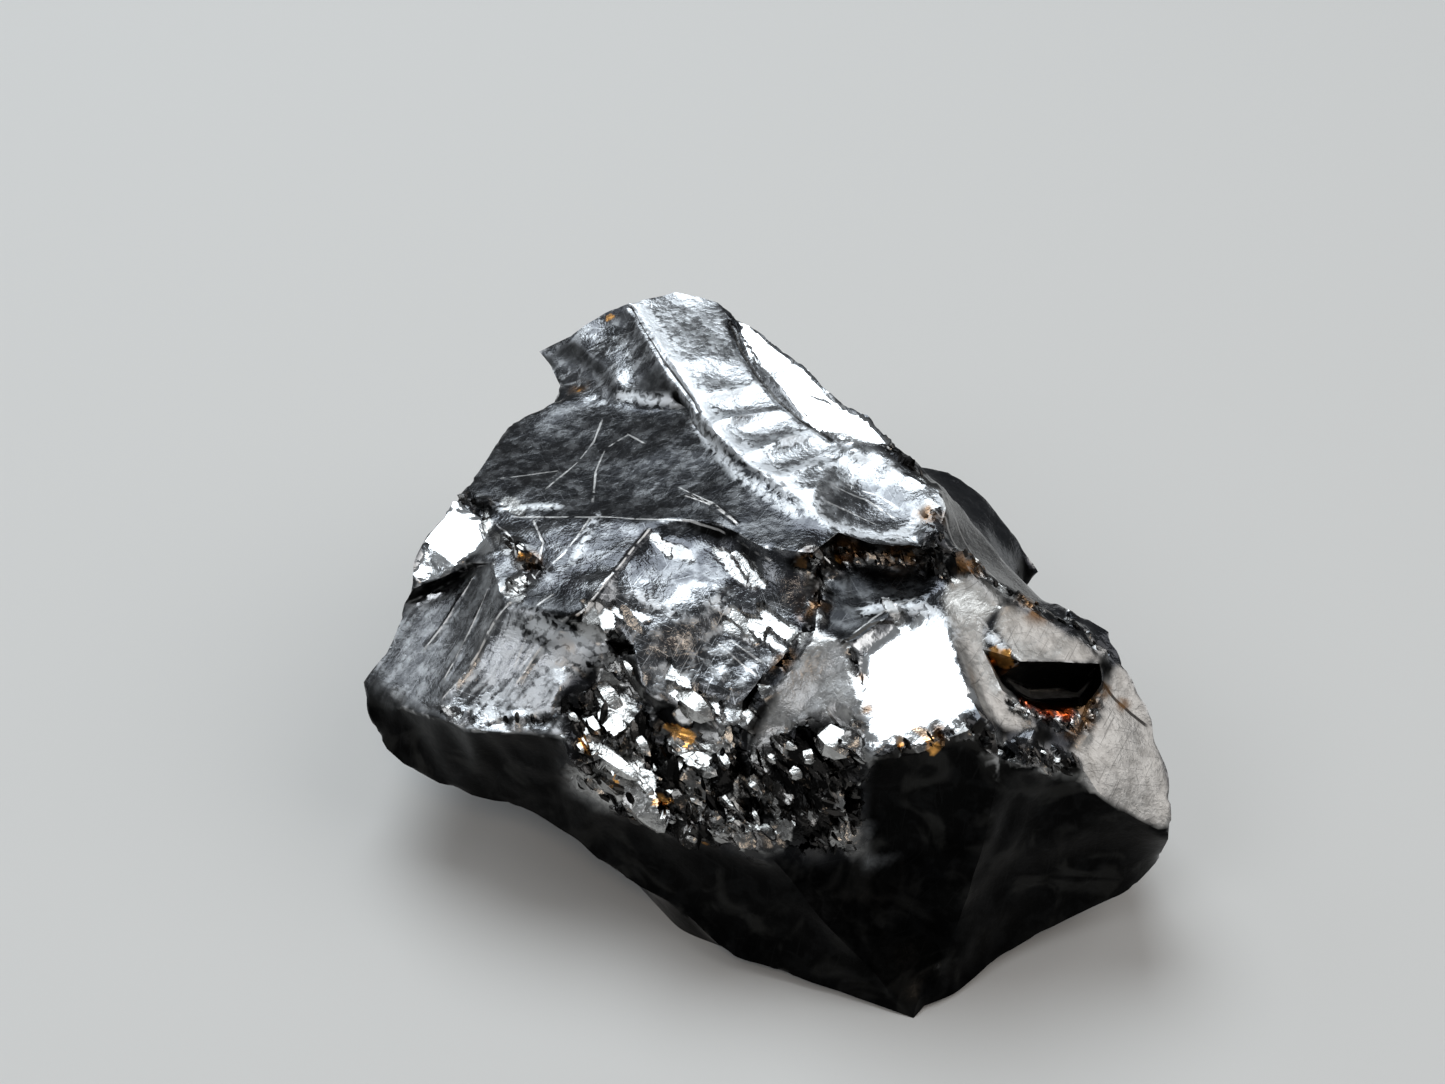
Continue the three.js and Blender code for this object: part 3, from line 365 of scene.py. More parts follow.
# Outlines of the scars, seen from above.
TABLE = [(-11.5, 4.6), (-10.9, 6.8), (-10, 9.3), (-8.2, 10), (-4.8, 8.6), (-3.4, 8.4), (-1.6, 3.9),
         (0.9, -1.3), (-1.5, 0.1), (-4.3, 1.4), (-9.2, 2.9), (-10.3, 4)]
SHELF = [(-10.3, 4), (-9.2, 2.9), (-4.3, 1.4), (-4.8, 1.2), (-5.8, -0.3), (-6.3, -2.5), (-7, -2.6),
         (-7.9, -2), (-8.8, -1.3), (-9.5, -0.7), (-9.9, 1.2)]
BLOCK_TOP = [(-4.8, 1.4), (-1.5, 0.1), (0.9, -1.3), (0.4, -2.2), (-2.1, -1.1), (-4.2, -1), (-6.2, -1),
             (-5.8, -0.3)]
BLOCK_FACE = [(0.4, -2.2), (0, -3.8), (-1.4, -5.4), (-4.6, -4.5), (-5, -3.2), (-6.6, -1.5), (-6.2, -1),
              (-4.2, -1), (-2.1, -1.1)]
INNER = [(-9, -1.4), (-8.2, -2.3), (-7.3, -2.9), (-6.7, -2.9), (-7.4, -4.1), (-7.2, -5.1), (-10, -4.8),
         (-11.2, -4.2), (-11.2, -3.3), (-10.8, -3.1), (-10.3, -2.5), (-9.8, -2), (-9.2, -1.7)]
WEST = [(-13.1, 1), (-10, 1.2), (-9.2, -1.2), (-9.8, -2), (-10.8, -3.1), (-11.2, -4.3), (-13.5, -2.2),
        (-14.5, -1.2)]
CREST = [(-5.7, 14), (-4.3, 9.8), (-2.6, 6.1), (-0.1, 2.3), (1.8, -0.2), (4.1, -1), (5.1, -0.2),
         (5.3, 1.4), (3.2, 4.5), (1.3, 5.6), (-1.1, 10.4), (-2.2, 14.4), (-3.8, 15.1)]
FLANK = [(-9.4, 13.8), (-8.4, 11.6), (-7.3, 9.8), (-3.4, 8.4), (-3.4, 7.8), (-5, 12), (-5.7, 14)]
FIN = [(-1.7, 13.6), (-1, 10.6), (0.4, 7.4), (1.2, 5.9), (2.3, 4.5), (4, 4.5), (4, 5.4), (2.9, 6.9),
       (1.6, 9), (0.3, 11), (-1.2, 13.2)]
WINDOW = [(-12, 4.7), (-13, 2.4), (-12.9, 0.9), (-11, 1.1), (-9.9, 1.2), (-10.4, 2.5), (-10.5, 3.4)]
MIRROR = [(2.3, -4.3), (2.2, -6), (2.6, -8.1), (5.4, -7.2), (5.8, -6.5), (5.3, -4.6), (5.1, -3.2),
          (3.6, -3.4)]
SLAB = [(1.1, -3.6), (-1.3, -6.1), (0.1, -5.9), (2.5, -6.7), (2.1, -4.3)]
PORCH = [(1.4, -1.2), (1.2, -3.3), (2.1, -4.3), (4, -2.9), (5.3, -1.3), (4.4, -0.6), (2.3, -0.9)]
OVAL = [(1.7, 1.4), (2.2, 2.3), (3.1, 2.7), (4.2, 2), (4.9, 1.2), (4.7, 0.4), (3.7, 0.1), (2.6, 0.3),
        (2, 0.7)]
SADDLE = [(5.2, -2.4), (5.3, -4), (5.9, -6.6), (7.8, -6.3), (7.2, -5.3), (6.4, -4.1), (6.5, -2.9)]
PALE = [(5.2, -2.5), (5.5, -1.6), (6.3, -1.8), (7.1, -2.7), (6.5, -3.2)]
BROW = [(7, -2.8), (8.4, -3), (10.2, -3.8), (9.3, -4.3), (7.5, -4.6), (6.8, -3.4)]
CHEEK = [(9.5, -6), (10.4, -4.3), (11, -3.6), (12, -4.7), (12.5, -7.8), (9.7, -7.6), (9, -6.6)]
STRIP = [(5.6, 2.3), (6.8, 1.8), (8.7, -1), (8, -2.8), (7, -2.7), (5.7, -0.9), (5.3, 1.4)]
GULLY = [(-7.4, -4.4), (-5.4, -3), (-4.8, -4.6), (-3.8, -5.2), (-1.5, -5.8), (0.9, -6), (2.3, -6.8),
         (2.5, -8.3), (-0.3, -8.3), (-2.7, -8.4), (-6.3, -6.6)]

# Where the blows fell that took off the scars round the sides.
STRUCK = [(-13, 9, 8.5), (-2, 15.5, 8), (9.5, 9, 7.5), (12.6, -1, 5.5), (5, -9.5, 6.8), (-8.5, -5.5, 6),
          (0, -9, 1)]

# The middle of the mirror, the brightest scar, which lies in one plane.
MIRROR_MIDDLE = (3.9, -5.4, 9.4)

# The ways that broken chips face. The first two catch a lamp, and the others none.
UP_BACK = (-0.11, -0.24, 0.97)
UP_FRONT = (0.03, -0.73, 0.68)
WEST_DOWN = (-0.62, -0.55, 0.56)
EAST_DOWN = (0.5, -0.62, 0.6)
CHIP_FACINGS = (UP_BACK, UP_FRONT, WEST_DOWN, EAST_DOWN)

# Places where the scars are splintered into chips, which face a lamp and are painted pale as a glint.
SPLINTERED = [((-1.3, -2.3, 9.5), 0.9), ((-0.3, -3, 9.3), 0.7), ((-1.5, -0.9, 10.2), 0.6),
              ((-3.9, 0.3, 10.3), 0.45), ((-5.1, -2.4, 9.4), 0.8), ((-6.3, -2.8, 9.3), 0.8),
              ((-5.3, -3.9, 7.5), 0.9), ((-3, -4.7, 7.8), 1.0), ((-2.1, -5.2, 7.6), 0.8),
              ((1.5, -6.7, 7.9), 0.7), ((0.6, -7, 7.4), 0.4), ((0.3, -7.2, 6.9), 0.3),
              ((-9.1, 1.1, 9.8), 0.5), ((-8.4, -0.1, 9.7), 0.4), ((-9.4, 3.3, 9.9), 0.4),
              ((3, -0.45, 10.4), 0.35), ((-0.6, -4, 8.8), 0.6), ((-8.9, -1.1, 9.5), 0.4),
              ((0.3, -1.6, 10.6), 0.4), ((3.4, -2.6, 10.2), 0.6), ((4.9, -2.2, 10.1), 0.5),
              ((8.2, -7.3, 7.3), 0.4), ((7.9, -5.9, 8.3), 0.45), ((4.2, 4, 11.9), 0.5),
              ((6.9, -3.6, 9.7), 0.3), ((-9.4, -1.2, 9.3), 0.3), ((-9.7, -1.5, 8.9), 0.28),
              ((-10.1, -1.8, 8.4), 0.25), ((-10.4, -2.3, 7.8), 0.25), ((-10.7, -2.9, 7.4), 0.25),
              ((-12.5, -2.4, 6.4), 0.3), ((-11.4, -3.4, 6.7), 0.35), ((-10.2, -4, 6.9), 0.4),
              ((-14, -1.4, 6), 0.3), ((-4.6, 8.9, 11.1), 0.5), ((-5.6, 9.5, 10.9), 0.4)]

# The largest shards in the gully, which face the key lamp and are painted white as a glint, each with its
# reach, as in all lists of spots here.
GLINTING_SHARDS = [((-5.6, -4.2, 7.3), 1.0), ((-5.5, -5.2, 6.6), 0.8), ((-4.7, -6.1, 6.2), 0.9),
                ((-2.7, -5.7, 6.6), 0.9), ((-3.1, -4.8, 7.8), 0.9), ((-2.2, -5, 7.7), 0.8),
                ((-6.5, -4.6, 7), 0.6)]

# The largest splinters in the gully, which gleam: middle, the way it lies, length and half width.
BLADES = [
    ((-2.9, -4.8, 7.75), (0.7, -0.65, -0.3), 1.9, 0.5), ((-5.7, -3.9, 7.3), (0.55, -0.8, -0.25), 1.6, 0.42),
    ((-5.5, -5.9, 6.3), (0.75, -0.6, -0.3), 2.5, 0.34), ((-6.2, -4.7, 6.8), (0.5, -0.8, -0.3), 0.9, 0.26),
    ((-2.5, -5.6, 6.7), (0.7, -0.65, -0.3), 1.2, 0.34), ((-4.6, -5.4, 6.6), (0.5, -0.8, -0.3), 1.1, 0.24),
    ((-3.4, -6.1, 6.3), (-0.3, -0.9, -0.3), 0.9, 0.2), ((-5.2, -4.7, 6.95), (0.6, -0.75, -0.25), 1.2, 0.3),
    ((1.5, -6.9, 8), (0.6, -0.7, -0.3), 1.5, 0.6), ((0.7, -7.1, 7.6), (0.2, -0.9, -0.3), 0.6, 0.26),
    ((0.3, -7.2, 7), (0.7, -0.6, -0.3), 0.55, 0.24), ((-5.1, -3.3, 8.3), (0.2, -0.9, -0.3), 1.3, 0.24),
    ((-0.4, -6.4, 6.9), (0.7, -0.6, -0.3), 0.5, 0.16), ((-4.4, -6.8, 5.9), (0.6, -0.7, -0.3), 0.7, 0.2)]
BLADE_SPOTS = [(seat, 0.55 * long) for seat, _, long, _ in BLADES]

# Steep places that are pale, and a level strip on the shelf's lip that is painted darker than the rest, as
# painted shade.
PALE_STEPS = [
    ([(-8.2, -2.4, 9.1), (-7.9, -2.5, 9), (-7.4, -2.6, 8.9), (-6.9, -2.6, 8.7), (-6.4, -2.8, 8.8),
      (-6, -3, 8.6)], 0.8),
    ([(-6.7, -3, 8.4), (-7.3, -3.2, 8.3)], 0.6), ([(6.6, -3.6, 9.7), (7, -4.1, 9.5)], 0.35),
]
SHADED_LIP = [
    ([(-9.3, -0.7, 9.6), (-8.8, -1.2, 9.6), (-7.9, -1.9, 9.7), (-7, -2.5, 9.8),
      (-6.3, -2.5, 9.8)], 1.3),
]

# Fine bright lines on the scars: thin lips, chipped ridges and scratches, pale in part as a painted
# highlight.
BRIGHT_LINES = [
    [(-9.2, 2.9, 9.9), (-7.8, 2.5, 10.2), (-6.3, 2.2, 10.4), (-4.3, 1.6, 10.7), (-3.1, 1.3, 10.8)],
    [(-3.1, 1.3, 10.8), (-2.1, 0.6, 10.9), (-1.1, -0.5, 10.9), (-0.6, -1, 10.9)],
    [(-5, 6.6, 10.7), (-5.5, 7.2, 10.7), (-6.3, 6.6, 10.4), (-6.6, 5.2, 10.3), (-6.6, 3.5, 10.3)],
    [(-7.8, -1.6, 9.9), (-8.3, -2.1, 9.2), (-8.9, -3, 8)],
    [(-8.2, 4.6, 10.1), (-7.3, 6, 10.3), (-6.8, 7.2, 10.4), (-6.6, 8.3, 10.5)],
    [(-9.9, 5.4, 9.9), (-8.2, 5.5, 10.1)], [(-3.4, 3.2, 10.9), (-2.3, 2, 11), (-1.6, 0.8, 11)],
    [(-9.9, 2.6, 9.7), (-9.3, 1.6, 9.8), (-9.1, 0.8, 9.8)],
    [(-8.6, 2.4, 10), (-8.2, 1.2, 10), (-8.3, 0.3, 9.9)],
    [(-6.6, 2.2, 10.3), (-7, 1.2, 10.2), (-7.4, 0.5, 10.1), (-8.2, -0.4, 9.8)],
    [(-1.6, -3.1, 9), (-0.6, -3.9, 8.7)], [(-2, -3.2, 8.9), (-1, -4.1, 8.5)],
    [(-2.9, -4.6, 7.9), (-2.2, -5.4, 7.4)], [(2.4, -3.6, 9.9), (3.3, -2.9, 10.2), (4.1, -2.5, 10.2)],
    [(6.4, -3.2, 10), (6.9, -3.8, 9.7), (7.5, -4.5, 9.4)],
    [(5, 1.1, 11.6), (5.8, -0.4, 11), (6.6, -2.3, 10.5)],
    [(5.5, 1.5, 11.2), (6.2, 0, 10.6), (7, -1.5, 10.2)],
    [(1.9, 2.2, 11.5), (2.9, 1.7, 11.5), (3.7, 0.8, 11.4)],
    [(2.4, 2.4, 11.5), (3.3, 1.9, 11.5), (3.8, 1.3, 11.5)],
    [(1.7, 1.2, 11.6), (2.4, 0.9, 11.5), (3.1, 0.4, 11.3)],
    [(6.8, -5.5, 9), (7.1, -5.8, 8.6), (7.7, -5.9, 8.4), (8.4, -5.7, 7.9), (9, -6, 7.7)],
]

# Thin raised ridges, painted white along their tops as a painted highlight.
RIDGES = [
    [(-4.6, 1, 10.5), (-5.3, -0.3, 10.3), (-6, -1.6, 10.1), (-6.5, -2.5, 9.9), (-7.1, -2.7, 9.5),
     (-7.7, -2.6, 8.9), (-8.2, -2.8, 8.2), (-8.7, -3.3, 7.6)],
    [(-9.2, -1.7, 9.5), (-9.8, -2, 8.6), (-10.3, -2.5, 7.7), (-10.8, -3.1, 7.3), (-11.2, -3.3, 6.9)],
    [(-10.7, 0.6, 8.7), (-11.2, 0.2, 8.1), (-11.6, -0.3, 7.6), (-12.1, -0.8, 7.1)],
    [(-9.9, -0.4, 8.9), (-10.4, -1, 8.4), (-10.9, -1.8, 7.7), (-11.3, -2.5, 7.2)],
    [(-3.2, 2.6, 11), (-2.4, 1.9, 11), (-1.6, 0.8, 11)],
]

# Steps that are gentler than the solid's: at the crest's foot and under the shelf's front lip.
EASED = [
    ([(-4.1, 9.4, 12), (-3.2, 7.6, 11.7), (-2.3, 5.5, 11.5), (-1.4, 3.7, 11.3), (-0.4, 2, 11.4),
      (0.6, 0.9, 11.5)], 1.0),
    ([(-8.8, -1.1, 9.6), (-8.4, -1.9, 9.6), (-7.8, -2.5, 9.6), (-7.3, -2.9, 9.4),
      (-6.7, -2.7, 9.3)], 1.3),
]
EASED_ROUNDS = 30

# Fine dark lines: the groove beside the fin and the line along the crest, darkened as painted shade, and
# cracks.
DARK_LINES = [
    [(-1.7, 12.9, 12.3), (-1.3, 11, 12.2), (-0.7, 9.2, 12.1), (-0.1, 7.8, 12), (0.8, 6.3, 11.9),
     (1.8, 5, 11.9)],
    [(-5.6, 13.8, 12.5), (-4.6, 11.1, 12.3), (-3.6, 8.6, 12), (-3, 7.2, 11.8)],
    [(10.2, -4.3, 8.3), (10.7, -4.6, 7.8), (11.2, -4.8, 7.4), (11.6, -4.9, 7.1)],
    [(1.9, -4.1, 9.9), (2.7, -3.5, 10.1), (3.5, -3.4, 10.1)],
    [(10.2, -4.5, 8.2), (9.7, -5.1, 8), (9.4, -5.8, 7.7)],
]

# The rims where the stone crumbles, and the crevice, each with the reach of the crumbs.
CREVICE = [
    ([(1.1, -1.4, 10), (1.1, -2.4, 9.7), (1, -3.2, 9.5), (0.2, -4.1, 8.8), (-0.5, -4.7, 8.2),
      (-1.2, -5.2, 7.6)], 0.55),
]
CRUMBLED = [
    ([(5.3, 2.2, 11.3), (4.9, -0.9, 11.3), (5.8, -1.1, 11), (6.7, -1.7, 10.6), (7.5, -2, 10.1),
      (8.7, -2.4, 9.7), (10.3, -3.3, 8.9)], 0.6),
    ([(0.9, -1.2, 10.9), (1.2, -1.1, 10.9), (2.3, -0.2, 10.5), (4.6, -0.4, 10.5), (5.4, -1.4, 10.4)], 0.7),
    ([(7.2, -5.8, 8.6), (8.4, -5.9, 8.1), (9.6, -5.6, 7.8), (10.1, -5.1, 8)], 0.5),
    ([(5.6, -7.2, 8.8), (7, -7.3, 8), (9, -7, 7.2)], 0.7),
    ([(2.8, -8, 8.4), (4, -7.7, 8.7), (5.3, -7.3, 8.8)], 0.4),
    ([(-13.3, -2.2, 6.2), (-12.4, -3.1, 6.5), (-11, -4, 6.8), (-9.8, -4.6, 6.9), (-7.4, -4.6, 7)], 0.35),
    ([(2.1, -4.6, 9.7), (2.2, -5.6, 9.4), (2.3, -6.7, 9)], 0.35),
    ([(-11.6, 4.5, 9.7), (-10.4, 3.9, 9.8), (-10.4, 2.6, 9.5)], 0.5),
    ([(-9.6, 1.9, 9.6), (-9, 0.9, 9.8), (-8.2, -0.3, 9.8), (-9, -0.8, 9.6)], 0.6),
    ([(3.6, 4.7, 12), (4.4, 3.5, 11.9), (5, 2.2, 11.7)], 0.4),
] + CREVICE

# White scuffing: beside the crest's line, across its flutes, round its tongue and on the slopes.
WHITE_SCUFFS = [
    ([(-5.2, 14, 12.5), (-4.2, 11.1, 12.3), (-3.2, 8.5, 11.9), (-2.2, 6.1, 11.7), (-1, 4.1, 11.7),
      (0.1, 2.4, 11.7), (0.9, 1.2, 11.7)], 0.75),
    ([(-3.2, 7.7, 11.8), (-2.6, 7.8, 11.9), (-1.7, 8.1, 11.9), (-0.8, 8.5, 12)], 0.6),
    ([(-2.3, 5.4, 11.4), (-1.5, 5.7, 11.7), (-0.6, 6.3, 11.7), (0.5, 6.6, 11.9)], 0.3),
    ([(0.3, 4.9, 11.9), (1, 5.3, 11.9), (1.7, 5.5, 11.9)], 0.6),
    ([(-0.4, 2.5, 11.7), (0.3, 2.8, 11.8), (1, 3.5, 11.8), (1.7, 3.9, 11.8)], 0.5),
    ([(0.6, 1.2, 11.7), (1.4, 0.3, 11.6), (2.2, -0.1, 11.4), (3.4, -0.4, 11.3), (4.2, 0, 11.4),
      (4.8, 0.9, 11.5)], 0.45),
    ([(1.7, 3.4, 11.8), (2.5, 3.6, 12), (3.3, 3.5, 11.9), (4, 2.8, 11.9)], 0.4),
    ([(-9.9, 3.5, 9.9), (-7.8, 3.2, 10.1)], 0.3), ([(-6.3, 2.4, 10.3), (-7, 0.1, 10)], 0.3),
    ([(-8.2, -2.4, 9.1), (-7.7, -2.6, 8.7), (-7, -2.9, 8.3), (-6.4, -3, 8.6)], 0.9),
    ([(-8.9, -2.3, 8.8), (-9.4, -3, 8), (-9.8, -3.8, 7.2)], 0.5),
    ([(-7.8, -3, 8.5), (-8.3, -4, 7.4)], 0.45), ([(-7.8, -4.4, 7.2), (-9.6, -4.5, 6.9)], 0.5),
    ([(-6.9, -2.6, 9.2), (-7.4, -3.6, 7.9)], 0.5), ([(-5.4, -3.2, 9), (-6, -4, 7.4)], 0.5),
    ([(-2.2, -1.8, 9.8), (-1.2, -2.8, 9.3)], 0.35), ([(-4.8, -1.6, 9.7), (-3.6, -2.2, 9.4)], 0.35),
    ([(2.8, -2.7, 10), (3.8, -2.7, 10.2), (4.7, -2.9, 10.1), (5.3, -3.7, 9.9)], 0.55),
    ([(-5.9, 9.7, 10.9), (-4.7, 9, 11.1), (-3.8, 8.7, 11.3)], 0.4),
    ([(-11.9, 3.7, 9.4), (-11, 3.9, 9.5)], 0.3),
]

# The step at the crest's foot, whose worn edge is white.
CREST_FOOT = [
    ([(-3.6, 8.4, 11.7), (-2.8, 6.6, 11.3), (-2, 4.8, 11.3), (-1.4, 3.4, 11.3), (-0.4, 2, 11.3),
      (0.5, 0.8, 11.4)], 0.42),
]

# How evenly and how patchily each scar is scuffed.
SCUFFED = [(TABLE, 0.0, 0.26), (SHELF, 0.02, 0.2), (BLOCK_TOP, 0.02, 0.18), (BLOCK_FACE, 0.14, 0.58),
           (INNER, 0.55, 0.6), (WEST, 0.26, 0.45), (CREST, 0.5, 0.36), (FLANK, 0.08, 0.55),
           (SLAB, 0.16, 0.25), (PORCH, 0.0, 0.22), (MIRROR, 0.5, 0.4)]
# Scars with an even, waxy, pale face, and how pale.
WAXY = [(SADDLE, 0.95), (PALE, 1.0), (BROW, 1.0), (CHEEK, 0.95), (STRIP, 0.3), (SLAB, 0.62)]

# Brown stain, bright orange grains and the one red lip.
STAINED = [((2.5, -6.5, 9), 0.4), ((2.4, -5.3, 9.4), 0.3), ((3.2, -7.5, 8.8), 0.4),
           ((4.6, -7.4, 8.8), 0.45), ((9.2, -5.3, 8), 1.2), ((2.2, 0, 10.5), 0.9),
           ((4, -0.3, 10.6), 0.9), ((10.3, -4.5, 8.2), 0.5), ((8.2, -2.6, 10), 0.9),
           ((6.2, -1.4, 10.7), 0.7), ((7, -4.3, 9), 0.7), ((1, -2.3, 9.6), 0.8), ((0.1, -4, 8.8), 0.7),
           ((-8.6, 0.4, 9.7), 0.6), ((11, -4.7, 7.7), 0.4), ((-7.6, 11, 10.4), 0.6),
           ((5, 0.6, 11.5), 0.7), ((0.9, -1.2, 10.9), 0.6)]
ORANGE = [((-6.5, -5.4, 6.6), 0.3), ((-5.5, -6.2, 5.8), 0.25), ((-4.1, -7.3, 5.9), 0.3),
          ((-3.2, -5.4, 6.9), 0.2), ((7.1, -4.2, 9.3), 0.4), ((7, -4.25, 9.2), 0.6),
          ((-3.5, -5.3, 6.8), 0.18), ((-5.6, -6.2, 5.6), 0.25), ((-3.8, -7.3, 5.9), 0.25),
          ((4.3, -7.3, 8.7), 0.25), ((3.5, -7.6, 8.6), 0.25), ((5, -7.1, 8.8), 0.25),
          ((-6.5, 14, 12), 0.3), ((1.9, -0.6, 10.6), 0.3), ((-8.9, 0.6, 9.8), 0.25),
          ((-2.6, -7.6, 4.3), 0.25), ((-7.6, 10.8, 10.4), 0.2)]
RED = [((8.2, -5.3, 8.1), 0.6), ((8.9, -5.4, 8), 0.45), ((7.6, -5.4, 8.4), 0.4)]


# ---------------------------------------------------------------- the stone's fine surface

# Edges flatter than the first angle are rounded off, and edges steeper than the second are kept.
SHARP_FROM, SHARP_FULL = math.radians(22), math.radians(38)
LOOP_ROUNDS = 2

# The longest that an edge may be on chips, beside fine lines and elsewhere.
CHIP_STEP, LINE_STEP, PLAIN_STEP = 0.1, 0.12, 0.34
PARTINGS = 3


def fine_surface(cad_node):
    """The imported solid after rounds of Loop's rule, parted finer where it carries small forms."""
    places, triangles = welded(cad_node)
    ends, which = edge_table(triangles)
    sharp = smoothstep(SHARP_FROM, SHARP_FULL, edge_angles(places, triangles, which, len(ends)))
    for _ in range(LOOP_ROUNDS):
        places, triangles, sharp = loop_round(places, triangles, sharp)
    even = evened(places, triangles, EASED_ROUNDS)
    places = places + along_lines(places, EASED)[:, None] * (even - places)
    for _ in range(PARTINGS):
        rough = np.maximum(rubble(places), near(places, SPLINTERED))
        facing = point_normals(places, triangles)
        line = np.maximum(beside(places, facing, BRIGHT_LINES + RIDGES)[1],
                          beside(places, facing, DARK_LINES)[1])
        longest = PLAIN_STEP - (PLAIN_STEP - CHIP_STEP) * smoothstep(0.1, 0.5, rough)
        longest = np.where(line > 0, np.minimum(longest, LINE_STEP), longest)
        places, triangles = split_long(places, triangles, longest)
    return places, triangles


def crest_sharpness(places, triangles):
    """(how sharp and raised the surface is at each place, 0 to 1; the normals)."""
    ends, which = edge_table(triangles)
    angle = edge_angles(places, triangles, which, len(ends))
    normals = point_normals(places, triangles)
    across = places[ends[:, 1]] - places[ends[:, 0]]
    raised = ((normals[ends[:, 1]] - normals[ends[:, 0]]) * across).sum(axis=1) > 0
    sharp = smoothstep(math.radians(18), math.radians(40), angle)
    found = np.zeros(len(places))
    for k in (0, 1):
        np.maximum.at(found, ends[:, k], sharp * (0.4 + 0.6 * raised))
    return found, normals


def gully_share(places):
    """1 in the gully at the front, 0 outside it and under its foot."""
    return within(places, GULLY, 0.4) * smoothstep(3.8, 5.0, places[:, 2])


def rim_share(places):
    """1 on the crumbled rims, and 0 beyond the reach of their crumbs."""
    return np.clip(along_lines(places, CRUMBLED) * 1.3, 0, 1)


def rubble(places):
    """How crumbled the stone is at each place: 1 in the gully, less along the crumbled rims."""
    return np.maximum(gully_share(places), 0.85 * along_lines(places, CRUMBLED))


# How wide the cells are that break the surface: large and small shards in the gully, chips on the
# scars, plates on the fin and the window, and the ragged rim of the mirror.
LARGE_SHARD, SMALL_SHARD, CHIP, PLATE, RAGGED = 0.85, 0.4, 0.45, 2.0, 0.34

# The ways that these cells are drawn out.
SHARD_WAY, CHIP_WAY = (0.55, -0.8, -0.25), (0.6, -0.75, -0.2)
PLATE_WAY, RAGGED_WAY = (-0.45, 0.9, 0), (0.5, 0.8, 0)

# How often a large or a small shard takes each of CHIP_FACINGS, and how far it may stand proud.
LARGE_CHANCES, SMALL_CHANCES = (0.36, 0.1, 0.27, 0.27), (0.22, 0.1, 0.34, 0.34)
LARGE_PROUD, SMALL_PROUD, CHIP_PROUD = 0.3, 0.16, 0.06

# Low swells all over: how high, how long, and the turn.
SWELLS = ((0.012, 1.7, 11), (0.006, 0.6, 12))

# How high other small forms rise, or how deep they lie.
CREVICE_FILL, RIDGE_RISE, GROOVE_DEPTH, NICK_DEPTH, RIPPLE_RISE = 0.25, 0.07, 0.1, 0.07, 0.028
PLATE_MOST, MIRROR_MOST = 0.15, 0.35


def relief(places, smooth, edge):
    """Fine height of the surface. Returns (height, gleam, glassy, grain, tone), a number at each place.

    gleam says how much a place belongs to a chip painted pale as a glint, glassy to a flat plate painted
    white as a highlight and grain to an orange grain. tone is a scattered number for each small shard.
    """
    gully = gully_share(places)
    rim = rim_share(places) * (1 - gully)
    height = sum(rise * waves(places, length, turn) for rise, length, turn in SWELLS)
    height = height + ripples(places, smooth)
    height, gleam, tone = with_shards(places, smooth, height, gully, rim)
    height, gleam, grain = with_chips(places, smooth, height, gleam, gully + rim < 0.6)
    height, glassy = with_plates(places, smooth, height)

    height += along_lines(places, CREVICE) * CREVICE_FILL
    side, close = beside(places, smooth, DARK_LINES[:2])
    height -= GROOVE_DEPTH * close * (1 - smoothstep(0.05, 0.22, np.abs(side)))
    side, close = beside(places, smooth, RIDGES)
    height += RIDGE_RISE * close * (1 - smoothstep(0.0, 0.14, np.abs(side)))
    nick = smoothstep(0.0, 0.6, waves(places, 0.45, 90))
    height -= edge * (1 - np.clip(gully + rim, 0, 1)) * NICK_DEPTH * nick
    return height, gleam, glassy, grain, tone


def with_shards(places, smooth, height, gully, rim):
    """Flat large shards with small ones over them in the gully, and crumbs along the rims.

    Returns (height, gleam, tone).
    """
    middle, pick, number = cells(places, LARGE_SHARD, SHARD_WAY, 20)
    # Shards near the glinting spots face the key lamp and are painted white as a glint; other shards that
    # face a lamp get a fainter painted glint.
    white = near(middle, GLINTING_SHARDS) > 0.2
    pick = np.where(white, pick * 0.36, 0.3 + 0.7 * pick)
    large, which = faceted(places, smooth, middle, pick, number, CHIP_FACINGS, LARGE_CHANCES,
                           LARGE_SHARD, LARGE_PROUD)
    height = height + gully * large
    gleam = gully * (which < 2) * np.where(white, 1, 0.4 + 0.6 * scatter(middle, 76))

    middle, pick, number = cells(places, SMALL_SHARD, SHARD_WAY, 40)
    small, which = faceted(places, smooth, middle, pick, number, CHIP_FACINGS, SMALL_CHANCES,
                           SMALL_SHARD, SMALL_PROUD)
    height += gully * np.where(white, 0.12, 0.5) * small + rim * (0.8 * small + 0.03)
    tone = scatter(middle, 77)
    gleam = gleam * (1 - 0.6 * gully * (tone < 0.25) * ~white)
    gleam = np.maximum(gleam, gully * (tone > 0.86) * 0.8)
    gleam = np.maximum(gleam, rim * (which < 2) * (0.3 + 0.7 * tone))
    return height, gleam, tone


def with_chips(places, smooth, height, gleam, whole):
    """Chips on the splintered scars, where the stone is whole; gleam marks them for a glint painted pale.

    Returns (height, gleam, grain).
    """
    middle, pick, number = cells(places, CHIP, CHIP_WAY, 60)
    chip, _ = faceted(places, smooth, middle, pick, number, [UP_BACK, UP_FRONT], (0.94, 0.06),
                      CHIP, CHIP_PROUD, 0.34)
    on = (near(middle, SPLINTERED) > 0.15 + 0.5 * scatter(middle, 74)) & whole
    height = np.where(on, height * 0.3 + chip, height)
    gleam = np.where(on, 0.45 + 0.55 * scatter(middle, 75), gleam)
    grain = np.maximum(near(middle, ORANGE) > 0.45, near(places, ORANGE) > 0.75).astype(float)
    return height, gleam, grain


